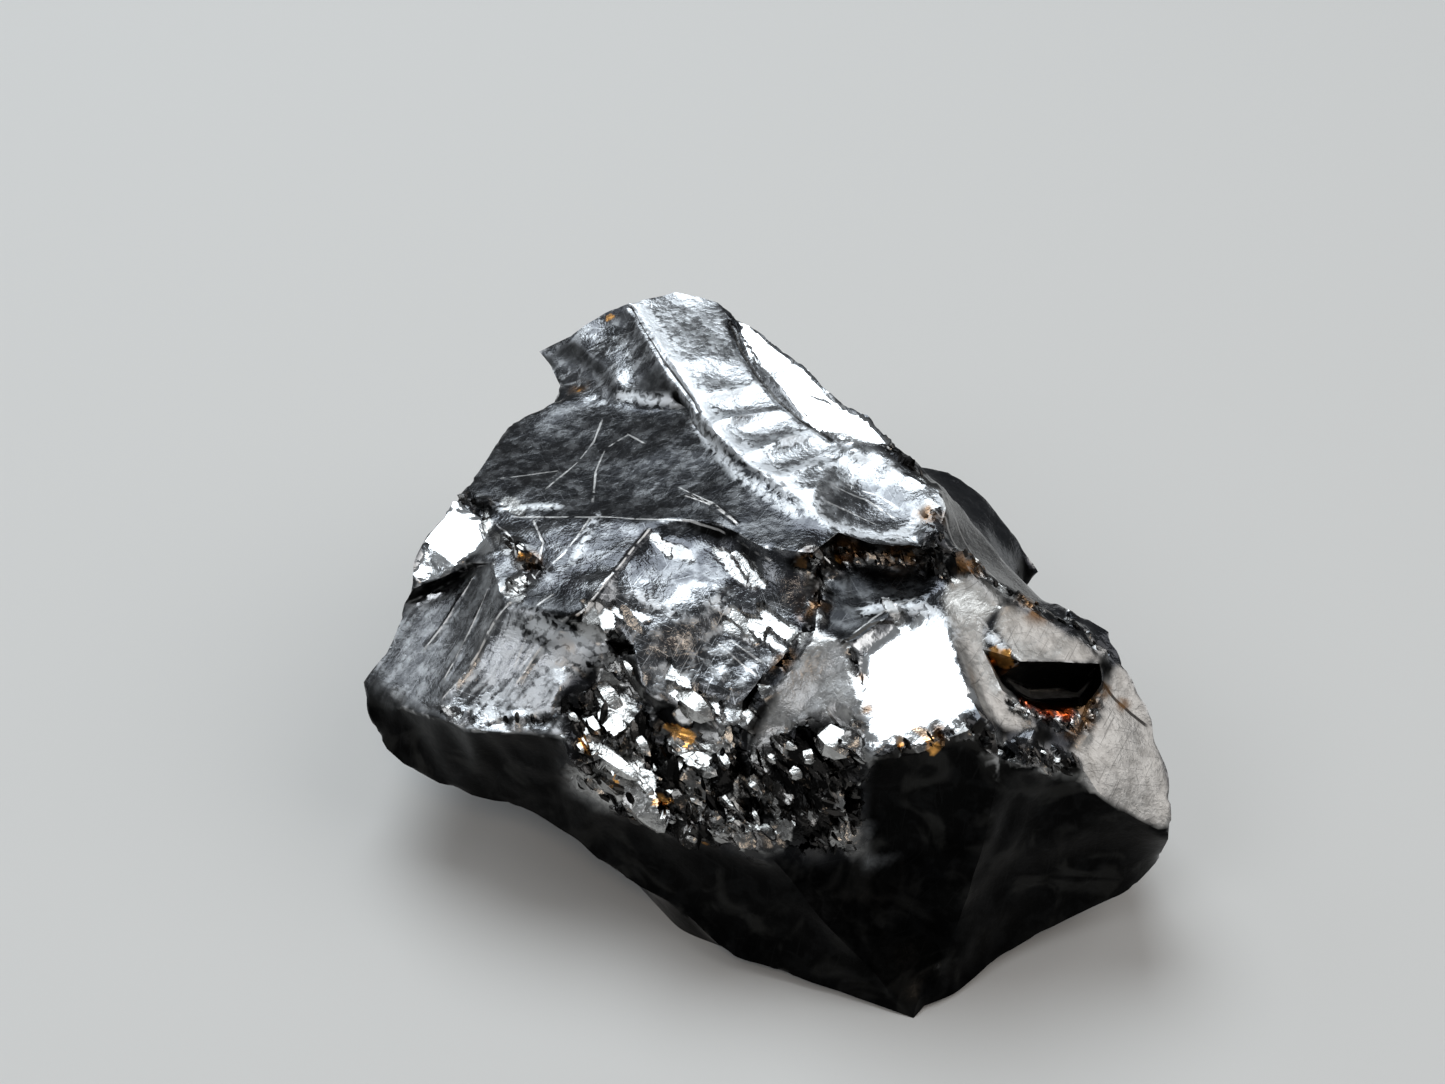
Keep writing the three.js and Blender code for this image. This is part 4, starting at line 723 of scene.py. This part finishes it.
def with_plates(places, smooth, height):
    """Flat plates on the fin and the window, and the mirror in one plane, turned to catch the key lamp;
    glassy marks them as glossy and painted white, a painted highlight.

    The mirror's height is the way to its plane along the surface's normal. Returns (height, glassy).
    """
    middle, pick, number = cells(places, PLATE, PLATE_WAY, 80)
    plate, _ = faceted(places, smooth, middle, pick, number, [UP_BACK], (1.0,), PLATE, 0.0, 0.03)
    flat_enough = smoothstep(0.86, 0.93, smooth @ unit(np.array(UP_BACK)))
    plated = np.maximum(within(places, FIN, 0.1), within(places, WINDOW, 0.1)) * flat_enough
    ragged, reach, _ = cells(places, RAGGED, RAGGED_WAY, 100)
    mirror = (within(ragged, MIRROR, 0.7) > 0.28 + 0.62 * reach) * smoothstep(0.6, 0.75, smooth[:, 2])
    glassy = np.maximum(plated, mirror)
    height = height * (1 - glassy) + np.clip(plate, -PLATE_MOST, PLATE_MOST) * plated

    tipped = within(places, MIRROR, 0.6) * smoothstep(0.5, 0.7, smooth[:, 2])
    middle, facing = np.array(MIRROR_MIDDLE), unit(np.array(UP_BACK))
    level = ((middle - places) @ facing) / np.maximum(smooth @ facing, 0.5)
    return height + tipped * np.clip(level, -MIRROR_MOST, MIRROR_MOST), glassy


# Corners of one loose splinter: a tip, three rings of five and a tip.
SPLINTER_CORNERS = 17


def rods(seat, along, up, long, wide, rough, turn):
    """Five-sided rods with two tips and rings at three stations, a flat side up, one on each seat.

    A corner lies at seat + along x + across y + up z, where (y, z) goes round a ring by the cosine
    and sine of its turn, and strays by up to half of rough. Returns (places, triangles).
    """
    along = unit(along - (along * up).sum(axis=1, keepdims=True) * up)
    across = np.cross(up, along)
    station, girth = np.repeat((-0.3, 0.05, 0.32), 5), np.repeat((0.8, 1.0, 0.7), 5)
    turned = np.radians(np.tile(54 + 72 * np.arange(5), 3))
    x = np.concatenate([[-0.5], station, [0.5]])
    y = np.concatenate([[0], girth * np.cos(turned), [0]])
    z = np.concatenate([[0], girth * np.sin(turned) * 0.7, [0]])
    corner = seat[:, None] + np.arange(SPLINTER_CORNERS)[:, None] * 0.37
    stray = rough * (np.stack([scatter(corner, turn + n) for n in (14, 15, 16)]) - 0.5)
    made = (seat[:, None] + along[:, None] * (long * (x + 0.3 * stray[0]))[..., None]
            + across[:, None] * (wide * (y + stray[1]))[..., None]
            + up[:, None] * (wide * (z + stray[2]))[..., None])
    here, there = np.arange(5), (np.arange(5) + 1) % 5
    parts = stacked((0 * here, 1 + here, 1 + there), (0 * here + 16, 11 + there, 11 + here))
    for ring in (1, 6):
        parts += stacked((ring + here, ring + 5 + here, ring + there),
                         (ring + there, ring + 5 + here, ring + 5 + there))
    triangles = np.concatenate(parts)[None] + SPLINTER_CORNERS * np.arange(len(seat))[:, None, None]
    return made.reshape(-1, 3), triangles.reshape(-1, 3)


def blades():
    """The largest splinters, which face the key lamp and take a full painted glint. Returns (places,
    triangles, gleam, tone).
    """
    seat, along = (np.array([row[k] for row in BLADES], float) for k in (0, 1))
    long, wide = (np.array([[row[k]] for row in BLADES]) for k in (2, 3))
    lean = np.stack([scatter(seat, n) for n in (301, 302, 303)], axis=1) - 0.5
    up = unit(np.array(UP_BACK) + 0.16 * lean)
    places, triangles = rods(seat, unit(along), up, long, wide, 0.16, 300)
    return places, triangles, np.ones(len(places)), np.ones(len(places))


def splinters(places, normals, share, size, kept, turn):
    """Loose splinters seated where the share is high, one to a cell of that size for the kept part.

    Each has its flat side towards one of CHIP_FACINGS. Returns (places, triangles, gleam, tone).
    """
    middle, _, number = cells(places, size, SHARD_WAY, turn)
    seat = cell_mean(places, number)
    facing = unit(cell_mean(normals, number))
    middle = middle[np.unique(number, return_index=True)[1]]
    held = (cell_mean(share, number) > 0.7) & (np.bincount(number) > 6) & (scatter(middle, turn + 5) < kept)
    held &= near(seat, BLADE_SPOTS) < 0.3
    middle, seat, facing = middle[held], seat[held], facing[held]
    chance = [scatter(middle, turn + n)[:, None] for n in range(6, 14)]

    # Bright splinters face a lamp and are painted pale as a glint.
    bright = chance[0] < np.where(near(seat, GLINTING_SHARDS)[:, None] > 0.2, 0.6, 0.25)
    up = np.where(bright, np.where(chance[1] < 0.7, UP_BACK, UP_FRONT),
                  np.where(chance[1] < 0.5, WEST_DOWN, EAST_DOWN))
    up = unit(up + 0.25 * (np.concatenate(chance[2:5], axis=1) - 0.5))
    up = np.where((up * facing).sum(axis=1, keepdims=True) > 0.55, up, unit(facing + 0.4 * up))
    along = unit(np.array(SHARD_WAY) + 0.7 * (np.concatenate(chance[3:6], axis=1) - 0.5))
    long, wide = size * (1.3 + 1.5 * chance[6]), size * (0.22 + 0.34 * chance[7])
    made, triangles = rods(seat, along, up, long, wide, 0.3, turn)
    gleam = np.repeat(bright * (0.5 + 0.5 * chance[4]), SPLINTER_CORNERS)
    return made, triangles, gleam, np.repeat(chance[5], SPLINTER_CORNERS)


def ripples(places, smooth):
    """Waves that spread over the sides from where each was struck: sine of the distance, fading."""
    nearest = np.full(len(places), 1e9)
    for struck in STRUCK:
        nearest = np.minimum(nearest, np.linalg.norm(places - np.array(struck, float), axis=1))
    bent = nearest + 0.35 * waves(places, 2.6, 13)
    side = 1 - smoothstep(0.45, 0.75, smooth[:, 2])
    return side * RIPPLE_RISE * np.exp(-nearest / 9) * np.sin(2 * math.pi * bent / (0.9 + 0.06 * nearest))


def evened(values, triangles, rounds):
    """Values evened out over the surface: each place takes the mean of the triangles round it."""
    if values.ndim > 1:
        return np.stack([evened(column, triangles, rounds) for column in values.T], axis=1)
    for _ in range(rounds):
        total, shares = np.zeros(len(values)), np.zeros(len(values))
        mean = values[triangles].mean(axis=1)
        for k in range(3):
            np.add.at(total, triangles[:, k], mean)
            np.add.at(shares, triangles[:, k], 1)
        values = total / np.maximum(shares, 1)
    return values


# Below the first height the stone rests as the solid does, and above the second it has its full relief.
REST_HEIGHT, FREE_HEIGHT = 0.05, 0.6

# Faces that meet at more than this stay crisp.
CRISP = math.radians(32)


def nugget_piece(cad_node):
    """The stone in full: the fine surface with its relief, loose splinters and the material's masks."""
    places, triangles = fine_surface(cad_node)
    edge, normals = crest_sharpness(places, triangles)
    smooth = unit(evened(normals, triangles, 6))
    rough = rubble(places)
    height, gleam, glassy, grain, tone = relief(places, smooth, edge)
    masks = painted(places, smooth, edge, rough, gleam, glassy, grain, tone)

    free = smoothstep(REST_HEIGHT, FREE_HEIGHT, places[:, 2])
    direction = unit(normals * (1 - rough[:, None]) + smooth * rough[:, None])
    places = places + direction * (height * free)[:, None]
    places = np.clip(places, np.array(cad_low) / MM, np.array(cad_high) / MM)
    return piece_of(*with_splinters(places, triangles, smooth, masks))


def with_splinters(places, triangles, smooth, masks):
    """Adds the loose splinters to the stone's places, triangles and masks.

    Each kind has its share of the surface, size in mm, part kept and turn.
    """
    gully, rim = gully_share(places), rim_share(places)
    west = gully * (1 - smoothstep(-2.2, -1.2, places[:, 0]))
    kinds = ((west, 0.5, 0.6, 200), (gully, 0.28, 0.55, 230), (rim, 0.2, 0.5, 260))
    loose = [blades()] + [splinters(places, smooth, *kind) for kind in kinds]
    for more, corners, gleam, tone in loose:
        triangles = np.concatenate([triangles, corners + len(places)])
        places = np.concatenate([places, more])
        none, full = np.zeros(len(more)), np.ones(len(more))
        added = {"gleam": gleam, "rubble": full, "tone": tone, "stain": near(more, STAINED),
                 "red": near(more, RED), "orange": near(more, ORANGE) > 0.5,
                 "bright_side": full, "dark_side": full}
        masks = {name: np.concatenate([values, added.get(name, none)]) for name, values in masks.items()}
    return places, triangles, masks


def piece_of(places, triangles, masks):
    """A Blender object with that surface, and an attribute for each mask."""
    mesh = bpy.data.meshes.new("nugget_fine")
    mesh.vertices.add(len(places))
    mesh.vertices.foreach_set("co", (places * MM).astype(np.float32).ravel())
    mesh.loops.add(len(triangles) * 3)
    mesh.loops.foreach_set("vertex_index", triangles.astype(np.int32).ravel())
    mesh.polygons.add(len(triangles))
    mesh.polygons.foreach_set("loop_start", np.arange(0, len(triangles) * 3, 3, dtype=np.int32))
    mesh.update(calc_edges=True)
    mesh.shade_smooth()
    mesh.set_sharp_from_angle(angle=CRISP)
    for name, values in masks.items():
        layer = mesh.attributes.new(name, "FLOAT", "POINT")
        layer.data.foreach_set("value", values.astype(np.float32))
    piece = bpy.data.objects.new("nugget_fine", mesh)
    bpy.context.scene.collection.objects.link(piece)
    return piece


# Scars that face the front but have a finish of their own, and take no painted shade.
OWN_FINISH = [INNER, BLOCK_TOP, BLOCK_FACE, MIRROR, SLAB, PORCH, SADDLE, PALE, BROW, CHEEK]


def painted(places, facing, edge, rough, gleam, glassy, grain, tone):
    """The masks that the material reads by name, a number at each place."""
    top = smoothstep(0.35, 0.5, facing[:, 2])

    # A veil and patchy scuffs on each scar, thinner in the oval hollow at the crest's end.
    veil = np.zeros(len(places))
    patchy = np.full(len(places), 0.05)
    for ring, even, uneven in SCUFFED:
        inside = within(places, ring, 0.25) * top
        veil = np.maximum(veil, inside * even)
        patchy = patchy * (1 - inside) + uneven * inside
    oval = within(places, OVAL, 0.3)
    veil *= 1 - 0.75 * oval
    patchy *= 1 - 0.5 * oval

    # White scuffs on the tops, and worn steps however steep.
    milk = along_lines(places, WHITE_SCUFFS) * top
    milk = np.maximum(milk, along_lines(places, CREST_FOOT + PALE_STEPS))
    waxy = np.zeros(len(places))
    for ring, much in WAXY:
        waxy = np.maximum(waxy, within(places, ring, 0.15) * much * smoothstep(0.3, 0.45, facing[:, 2]))

    # Painted shade: the sides that face the front are painted near-black and calm, and so, in part, are the
    # deep tops and the shelf's lip.
    scar = gully_share(places)
    for ring in OWN_FINISH:
        scar = np.maximum(scar, within(places, ring, 0.1) * top)
    front = smoothstep(0.2, 0.45, -facing[:, 1]) * (1 - smoothstep(0.74, 0.85, facing[:, 2])) * (1 - scar)
    deep = np.maximum(0.75 * within(places, PORCH, 0.2), 0.5 * within(places, TABLE, 0.4))
    shaded_lip = along_lines(places, SHADED_LIP) * top
    front = np.maximum(np.maximum(front, deep * top), 0.6 * shaded_lip)

    # Edges are chipped, and their pale nicks are in part a painted highlight, kept to high places and the
    # back and left off low on the front; lines are painted bright on the tops alone, in part as a painted
    # highlight.
    low_front = (1 - smoothstep(7.2, 8.0, places[:, 2])) * smoothstep(6.5, 7.5, -places[:, 1])
    edge = edge * (1 - shaded_lip) * (1 - low_front)
    bright_side, bright_close = beside(places, facing, BRIGHT_LINES + RIDGES)
    bright_close *= 0.5 + 0.5 * beside(places, facing, RIDGES)[1]
    dark_side, dark_close = beside(places, facing, DARK_LINES)
    clear = 1 - np.clip(rough * 1.2, 0, 1)
    high_or_back = np.maximum(smoothstep(5, 6.5, places[:, 2]), smoothstep(-3, 0, places[:, 1]))
    return {
        "veil": veil * clear, "patchy": patchy * clear * (1 - 0.9 * front), "milk": milk * clear,
        "gleam": gleam, "glassy": glassy, "waxy": waxy * clear, "rubble": rough, "front": front,
        "edge": edge * clear * high_or_back, "bright_side": bright_side, "bright_close": bright_close * top,
        "dark_side": dark_side, "dark_close": dark_close,
        "brushed": np.maximum(within(places, INNER, 0.4), 0.7 * within(places, WEST, 0.4)),
        "tone": tone, "stain": near(places, STAINED), "orange": grain, "red": near(places, RED)}


# ---------------------------------------------------------------- materials

def add(tree, kind, **settings):
    """A new node with some of its properties set."""
    made = tree.nodes.new(kind)
    for name, value in settings.items():
        setattr(made, name, value)
    return made


def feed(tree, target, value):
    """Puts a number, a colour or another node's output into an input."""
    if isinstance(value, bpy.types.NodeSocket):
        tree.links.new(value, target)
    else:
        target.default_value = value


def calc(tree, operation, *values, clamped=False):
    """One sum with the values, such as their product, kept between 0 and 1 if clamped."""
    made = add(tree, "ShaderNodeMath", operation=operation, use_clamp=clamped)
    for target, value in zip(made.inputs, values):
        feed(tree, target, value)
    return made.outputs[0]


def times(tree, *values):
    """The product of the values."""
    return functools.reduce(lambda total, value: calc(tree, "MULTIPLY", total, value), values)


def greatest(tree, *values):
    """The greatest of the values."""
    return functools.reduce(lambda total, value: calc(tree, "MAXIMUM", total, value), values)


def ramp(tree, value, low, high, bottom=0.0, top=1.0):
    """smoothstep from low to high, from bottom to top."""
    made = add(tree, "ShaderNodeMapRange", interpolation_type="SMOOTHSTEP")
    parts = {"Value": value, "From Min": low, "From Max": high, "To Min": bottom, "To Max": top}
    for name, part in parts.items():
        feed(tree, made.inputs[name], part)
    return made.outputs["Result"]


def blend(tree, share, first, second):
    """first where share is 0 and second where it is 1, for colours."""
    made = add(tree, "ShaderNodeMix", data_type="RGBA")
    for socket, value in ((0, share), (6, first), (7, second)):
        feed(tree, made.inputs[socket], value)
    return made.outputs[2]


def mixed(tree, share, first, second):
    """first where share is 0 and second where it is 1, for numbers."""
    made = add(tree, "ShaderNodeMix", data_type="FLOAT")
    for socket, value in ((0, share), (2, first), (3, second)):
        feed(tree, made.inputs[socket], value)
    return made.outputs[0]


def streak_group():
    """Fine parallel streaks: noise drawn out along one direction and cut off at a level."""
    tree = bpy.data.node_groups.new("streaks", "ShaderNodeTree")
    tree.interface.new_socket("Vector", in_out="INPUT", socket_type="NodeSocketVector")
    for label in ("Turn", "Length", "Width", "From", "To"):
        tree.interface.new_socket(label, in_out="INPUT", socket_type="NodeSocketFloat")
    tree.interface.new_socket("Mask", in_out="OUTPUT", socket_type="NodeSocketFloat")
    given, out = tree.nodes.new("NodeGroupInput"), tree.nodes.new("NodeGroupOutput")
    turned = add(tree, "ShaderNodeVectorRotate", rotation_type="Z_AXIS")
    feed(tree, turned.inputs["Vector"], given.outputs["Vector"])
    feed(tree, turned.inputs["Angle"], given.outputs["Turn"])
    along = calc(tree, "DIVIDE", 1.0, given.outputs["Length"])
    across = calc(tree, "DIVIDE", 1.0, given.outputs["Width"])
    size = add(tree, "ShaderNodeCombineXYZ")
    for target, part in zip(size.inputs, (along, across, along)):
        feed(tree, target, part)
    scaled = add(tree, "ShaderNodeVectorMath", operation="MULTIPLY")
    feed(tree, scaled.inputs[0], turned.outputs[0])
    feed(tree, scaled.inputs[1], size.outputs[0])
    noise = noise_of(tree, scaled.outputs[0], 1.0, 1.0)
    feed(tree, out.inputs["Mask"], ramp(tree, noise, given.outputs["From"], given.outputs["To"]))
    return tree


def streaks(tree, kind, vector, turn, length, width, low, high):
    """The streak group placed once: its turn in degrees, a streak's length and width in mm, its levels."""
    made = tree.nodes.new("ShaderNodeGroup")
    made.node_tree = kind
    feed(tree, made.inputs["Vector"], vector)
    values = {"Turn": math.radians(turn), "Length": length, "Width": width, "From": low, "To": high}
    for name, value in values.items():
        made.inputs[name].default_value = value
    return made.outputs["Mask"]


def noise_of(tree, vector, scale, detail=3.0, distortion=0.0):
    """Cloudy noise with that many waves to a millimetre."""
    made = add(tree, "ShaderNodeTexNoise")
    feed(tree, made.inputs["Vector"], vector)
    for name, value in (("Scale", scale), ("Detail", detail), ("Distortion", distortion)):
        made.inputs[name].default_value = value
    return made.outputs[0]


def line_mask(tree, side, close, width):
    """1 within width of the line and 0 a little beyond, where close is also 1."""
    away = calc(tree, "SUBTRACT", calc(tree, "ABSOLUTE", side), width)
    return times(tree, ramp(tree, away, 0.0, 0.03, 1.0, 0.0), close)


# Scratches over the scars and broad strokes on the brushed ones, as streaks takes them.
SCRATCHES = [(-58, 2.0, 0.05, 0.66, 0.72), (-15, 2.4, 0.04, 0.67, 0.73),
             (24, 1.6, 0.035, 0.68, 0.74), (71, 1.8, 0.035, 0.68, 0.74)]
STROKES = (-44, 2.6, 0.22, 0.3, 0.62)

# The stone's tones.
# SHADE_BLACK is painted shade, laid on the sides that face the front and on the deep tops.
GLASS_BLACK, SHADE_BLACK = (0.05, 0.053, 0.06, 1), (0.003, 0.003, 0.003, 1)
CRACK_AND_GROOVE_SHADE = (0.02, 0.018, 0.016, 1)
DARK_CRUMB, PALE_CRUMB = (0.008, 0.008, 0.008, 1), (0.08, 0.076, 0.072, 1)
DARK_WAX, PALE_WAX, WAX_SCRATCH = (0.4, 0.388, 0.37, 1), (0.68, 0.665, 0.64, 1), (0.16, 0.15, 0.14, 1)
ARC_GREY, SCUFF_WHITE, PLATE_HIGHLIGHT_WHITE = (0.5, 0.49, 0.46, 1), (0.74, 0.765, 0.795, 1), (0.78, 0.8, 0.82, 1)
CHIP_GLINT_WHITE, EDGE_WEAR_AND_HIGHLIGHT, LINE_WHITE = (0.62, 0.62, 0.61, 1), (0.6, 0.6, 0.6, 1), (0.9, 0.89, 0.88, 1)
IRON_BROWN, GRAIN_ORANGE, LIP_RED = (0.16, 0.085, 0.035, 1), (1.0, 0.5, 0.13, 1), (0.5, 0.08, 0.012, 1)

# How high the finest grain of the surface stands, in mm.
GRAIN_HEIGHT = 0.012

MASKS = ("veil", "patchy", "milk", "gleam", "glassy", "waxy", "rubble", "front", "edge", "bright_side",
         "bright_close", "dark_side", "dark_close", "brushed", "tone", "stain", "orange", "red")


def stone_patterns(tree, mm, mask):
    """The noises, scratches, scuffs and lines that colour and gloss share, by name."""
    kind = streak_group()
    cloud = ramp(tree, noise_of(tree, mm, 1.9, 6.0, 0.3), 0.44, 0.62)
    frost = ramp(tree, noise_of(tree, mm, 4.4, 3.0, 0.4), 0.37, 0.64)
    grain = ramp(tree, noise_of(tree, mm, 12.0, 1.0), 0.42, 0.7)
    lines = greatest(tree, *(streaks(tree, kind, mm, *scratch) for scratch in SCRATCHES))
    strokes = mixed(tree, mask["brushed"], 1.0,
                    calc(tree, "MULTIPLY_ADD", streaks(tree, kind, mm, *STROKES), 1.05, 0.35))

    cell = add(tree, "ShaderNodeTexVoronoi")
    feed(tree, cell.inputs["Vector"], mm)
    cell.inputs["Scale"].default_value = 4.5
    chance = add(tree, "ShaderNodeSeparateColor")
    feed(tree, chance.inputs[0], cell.outputs["Color"])
    specks = times(tree, ramp(tree, cell.outputs["Distance"], 0.06, 0.13, 1.0, 0.0),
                   ramp(tree, chance.outputs[0], 0.66, 0.74))

    soft = calc(tree, "MULTIPLY_ADD", frost, 0.34, calc(tree, "MULTIPLY_ADD", grain, 0.14, 0.58))
    uneven = greatest(tree, times(tree, cloud, soft), times(tree, lines, 0.8), specks)
    worn = calc(tree, "MULTIPLY_ADD", uneven, mask["patchy"], times(tree, mask["veil"], soft))
    frosted = calc(tree, "MULTIPLY_ADD", mask["milk"], 0.7, frost)
    milk = times(tree, mask["milk"], ramp(tree, frosted, 0.3, 1.1))
    thread = ramp(tree, noise_of(tree, mm, 1.3, 2.0), 0.34, 0.62, 0.008, 0.03)
    return {
        "frost": frost, "grain": grain, "lines": lines, "milk": milk,
        "scuff": calc(tree, "ADD", times(tree, worn, strokes), milk, clamped=True),
        "bright": times(tree, line_mask(tree, mask["bright_side"], mask["bright_close"], thread),
                        ramp(tree, noise_of(tree, mm, 2.5, 1.0), 0.32, 0.46)),
        "dark": line_mask(tree, mask["dark_side"], mask["dark_close"], 0.045),
        "nicks_and_highlight": times(tree, mask["edge"], ramp(tree, noise_of(tree, mm, 2.4, 2.0), 0.46, 0.6)),
        "arcs": times(tree, mask["front"], ramp(tree, noise_of(tree, mm, 0.5, 3.0, 1.2), 0.5, 0.66)),
        "blotch": ramp(tree, noise_of(tree, mm, 1.8, 4.0), 0.4, 0.58)}


def stone_colour(tree, mask, pattern):
    """Near-black glass, with each tone laid over it in turn where its share says."""
    frost, blotch = pattern["frost"], pattern["blotch"]
    crumb = blend(tree, times(tree, mask["tone"], mask["tone"]), DARK_CRUMB, PALE_CRUMB)
    wax = blend(tree, calc(tree, "MULTIPLY_ADD", frost, 0.5, times(tree, blotch, 0.5)), DARK_WAX, PALE_WAX)
    wax = blend(tree, times(tree, pattern["lines"], 0.6), wax, WAX_SCRATCH)
    layers = (
        # Painted shade on the front-facing sides and the deep tops.
        (mask["front"], SHADE_BLACK),
        (times(tree, pattern["arcs"], 0.025), ARC_GREY),
        (mask["rubble"], crumb),
        (mask["waxy"], wax),
        (pattern["scuff"], SCUFF_WHITE),
        # Painted highlight: the plates and the mirror, which face the key lamp, are painted white.
        (times(tree, mask["glassy"], 0.95), PLATE_HIGHLIGHT_WHITE),
        # Painted glint: chips and splinters that face a lamp are painted pale.
        (times(tree, mask["gleam"], calc(tree, "MULTIPLY_ADD", frost, 0.35, 0.5)), CHIP_GLINT_WHITE),
        # Pale nicks on the edges: chipped wear, and in part a painted highlight.
        (times(tree, pattern["nicks_and_highlight"], 0.7), EDGE_WEAR_AND_HIGHLIGHT),
        # Bright lines: scratches and chipped lips, and a painted highlight along the ridges' tops.
        (times(tree, pattern["bright"], 0.9), LINE_WHITE),
        # Dark lines: real cracks, and painted shade in the groove beside the fin and along the crest.
        (times(tree, pattern["dark"], 0.9), CRACK_AND_GROOVE_SHADE),
        (times(tree, mask["stain"], blotch, 0.85), IRON_BROWN),
        (times(tree, mask["orange"], calc(tree, "MULTIPLY_ADD", blotch, 0.5, 0.5)), GRAIN_ORANGE),
        (times(tree, mask["red"], 0.9), LIP_RED))
    colour = GLASS_BLACK
    for share, tone in layers:
        colour = blend(tree, share, colour, tone)
    return colour


def stone_roughness(tree, mask, pattern):
    """Glassy, with each finish's roughness laid over in turn, and a little frost on all."""
    layers = ((mask["front"], 0.3), (mask["waxy"], 0.42), (pattern["scuff"], 0.4), (pattern["milk"], 0.5),
              (mask["gleam"], 0.24), (mask["glassy"], 0.12), (pattern["bright"], 0.5))
    rough = 0.15
    for share, finish in layers:
        rough = mixed(tree, share, rough, finish)
    return calc(tree, "MULTIPLY_ADD", pattern["frost"], 0.05, rough)


def stone_grain(tree, mask, pattern):
    """The finest grain, as a bump, calmer on the bright plates and where the front's shade is painted."""
    calm = times(tree, ramp(tree, mask["glassy"], 0.0, 1.0, 1.0, 0.25),
                 ramp(tree, mask["front"], 0.0, 1.0, 1.0, 0.3))
    high = calc(tree, "MULTIPLY_ADD", pattern["grain"], 0.2, times(tree, pattern["frost"], 0.5))
    bump = add(tree, "ShaderNodeBump")
    bump.inputs["Strength"].default_value = 1.0
    bump.inputs["Distance"].default_value = GRAIN_HEIGHT * MM
    feed(tree, bump.inputs["Height"], times(tree, high, calm))
    return bump.outputs[0]


def stone_material():
    """Near-black glassy carbon: a metal-like sheen, scuffed, stained and glassy where the masks say, with
    painted shade, painted highlights and painted glints.
    """
    material = bpy.data.materials.new("shungite_fracture")
    material.use_nodes = True
    tree = material.node_tree
    mask = {name: add(tree, "ShaderNodeAttribute", attribute_name=name).outputs["Fac"] for name in MASKS}
    place = add(tree, "ShaderNodeVectorMath", operation="SCALE")
    feed(tree, place.inputs[0], add(tree, "ShaderNodeTexCoord").outputs["Object"])
    place.inputs["Scale"].default_value = 1 / MM
    pattern = stone_patterns(tree, place.outputs[0], mask)

    shader = tree.nodes["Principled BSDF"]
    shader.inputs["Metallic"].default_value = 1.0
    feed(tree, shader.inputs["Base Color"], stone_colour(tree, mask, pattern))
    feed(tree, shader.inputs["Roughness"], stone_roughness(tree, mask, pattern))
    feed(tree, shader.inputs["Normal"], stone_grain(tree, mask, pattern))
    return material


def floor_material():
    """A plain pale floor, nearly matt."""
    material = bpy.data.materials.new("pale_floor")
    material.use_nodes = True
    shader = material.node_tree.nodes["Principled BSDF"]
    shader.inputs["Base Color"].default_value = (0.66, 0.66, 0.65, 1)
    shader.inputs["Roughness"].default_value = 0.7
    return material


# ---------------------------------------------------------------- the studio

STONE_MIDDLE = Vector((-0.001, 0.001, 0.006))

# Round soft lamps: azimuth from +Y towards +X and elevation in degrees, distance and width in metres,
# radiance and colour.
LAMPS = {
    "key": (-20, 61, 0.45, 0.31, 5.0, (0.9, 0.96, 1.0)),
    "side_panel": (95, 45, 0.45, 0.4, 1.2, (1.0, 0.97, 0.95)),
    "front_panel": (-130, 40, 0.45, 0.22, 2.0, (0.95, 0.97, 1.0)),
    "west_panel": (-66, 34, 0.5, 0.2, 1.2, (0.9, 0.95, 1.0)),
    "warm_lamp": (175, 52, 0.4, 0.09, 5.0, (1.0, 0.8, 0.62)),
}
AIR_COLOUR, AIR_STRENGTH = (0.95, 0.98, 1.0, 1), 0.2


def softbox(name, azimuth, elevation, distance, width, radiance, colour):
    """A round soft light that lies in that direction from the stone. Power = radiance x pi x area."""
    lamp = bpy.data.lights.new(name, "AREA")
    lamp.shape = "DISK"
    lamp.size = width
    lamp.energy = radiance * math.pi * (math.pi * width * width / 4)
    lamp.color = colour
    light = bpy.data.objects.new(name, lamp)
    a, e = math.radians(azimuth), math.radians(elevation)
    way = Vector((math.sin(a) * math.cos(e), math.cos(a) * math.cos(e), math.sin(e)))
    light.location = STONE_MIDDLE + way * distance
    light.rotation_euler = way.to_track_quat("Z", "Y").to_euler()
    bpy.context.scene.collection.objects.link(light)


def studio():
    """The lamps, and faint even light from all round."""
    for name, values in LAMPS.items():
        softbox(name, *values)
    world = bpy.data.worlds.new("studio_air")
    bpy.context.scene.world = world
    world.use_nodes = True
    air = world.node_tree.nodes["Background"]
    air.inputs["Color"].default_value = AIR_COLOUR
    air.inputs["Strength"].default_value = AIR_STRENGTH


# The camera's place in metres, how far down it looks in degrees, and its focal length as pixels of
# an image of that width.
CAMERA_PLACE, LOOKS_DOWN = (-0.002, -0.0468, 0.0436), 35
LENS_PIXELS, IMAGE_WIDTH, SENSOR = 1700, 1445, 36


def camera():
    """Looks along +Y and down, from a little west of the stone's middle."""
    data = bpy.data.cameras.new("camera")
    data.sensor_width = SENSOR
    data.lens = SENSOR * LENS_PIXELS / IMAGE_WIDTH
    data.clip_start = 0.001
    made = bpy.data.objects.new("camera", data)
    made.location = CAMERA_PLACE
    made.rotation_euler = (math.radians(90 - LOOKS_DOWN), 0, 0)
    bpy.context.scene.collection.objects.link(made)
    bpy.context.scene.camera = made


FLOOR_HALF = 2.0


def floor_piece():
    """A square floor at z = 0, whose half side is in metres."""
    corners = [(x * FLOOR_HALF, y * FLOOR_HALF, 0) for x, y in ((-1, -1), (1, -1), (1, 1), (-1, 1))]
    mesh = bpy.data.meshes.new("floor")
    mesh.from_pydata(corners, [], [(0, 1, 2, 3)])
    mesh.materials.append(floor_material())
    floor = bpy.data.objects.new("floor", mesh)
    bpy.context.scene.collection.objects.link(floor)
    return floor


# ---------------------------------------------------------------- the scene

nugget = nugget_piece(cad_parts["nugget"])
nugget.data.materials.append(stone_material())
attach(nugget, "root")
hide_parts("nugget")

floor = floor_piece()

studio()
camera()
bpy.context.scene.view_settings.view_transform = "Standard"
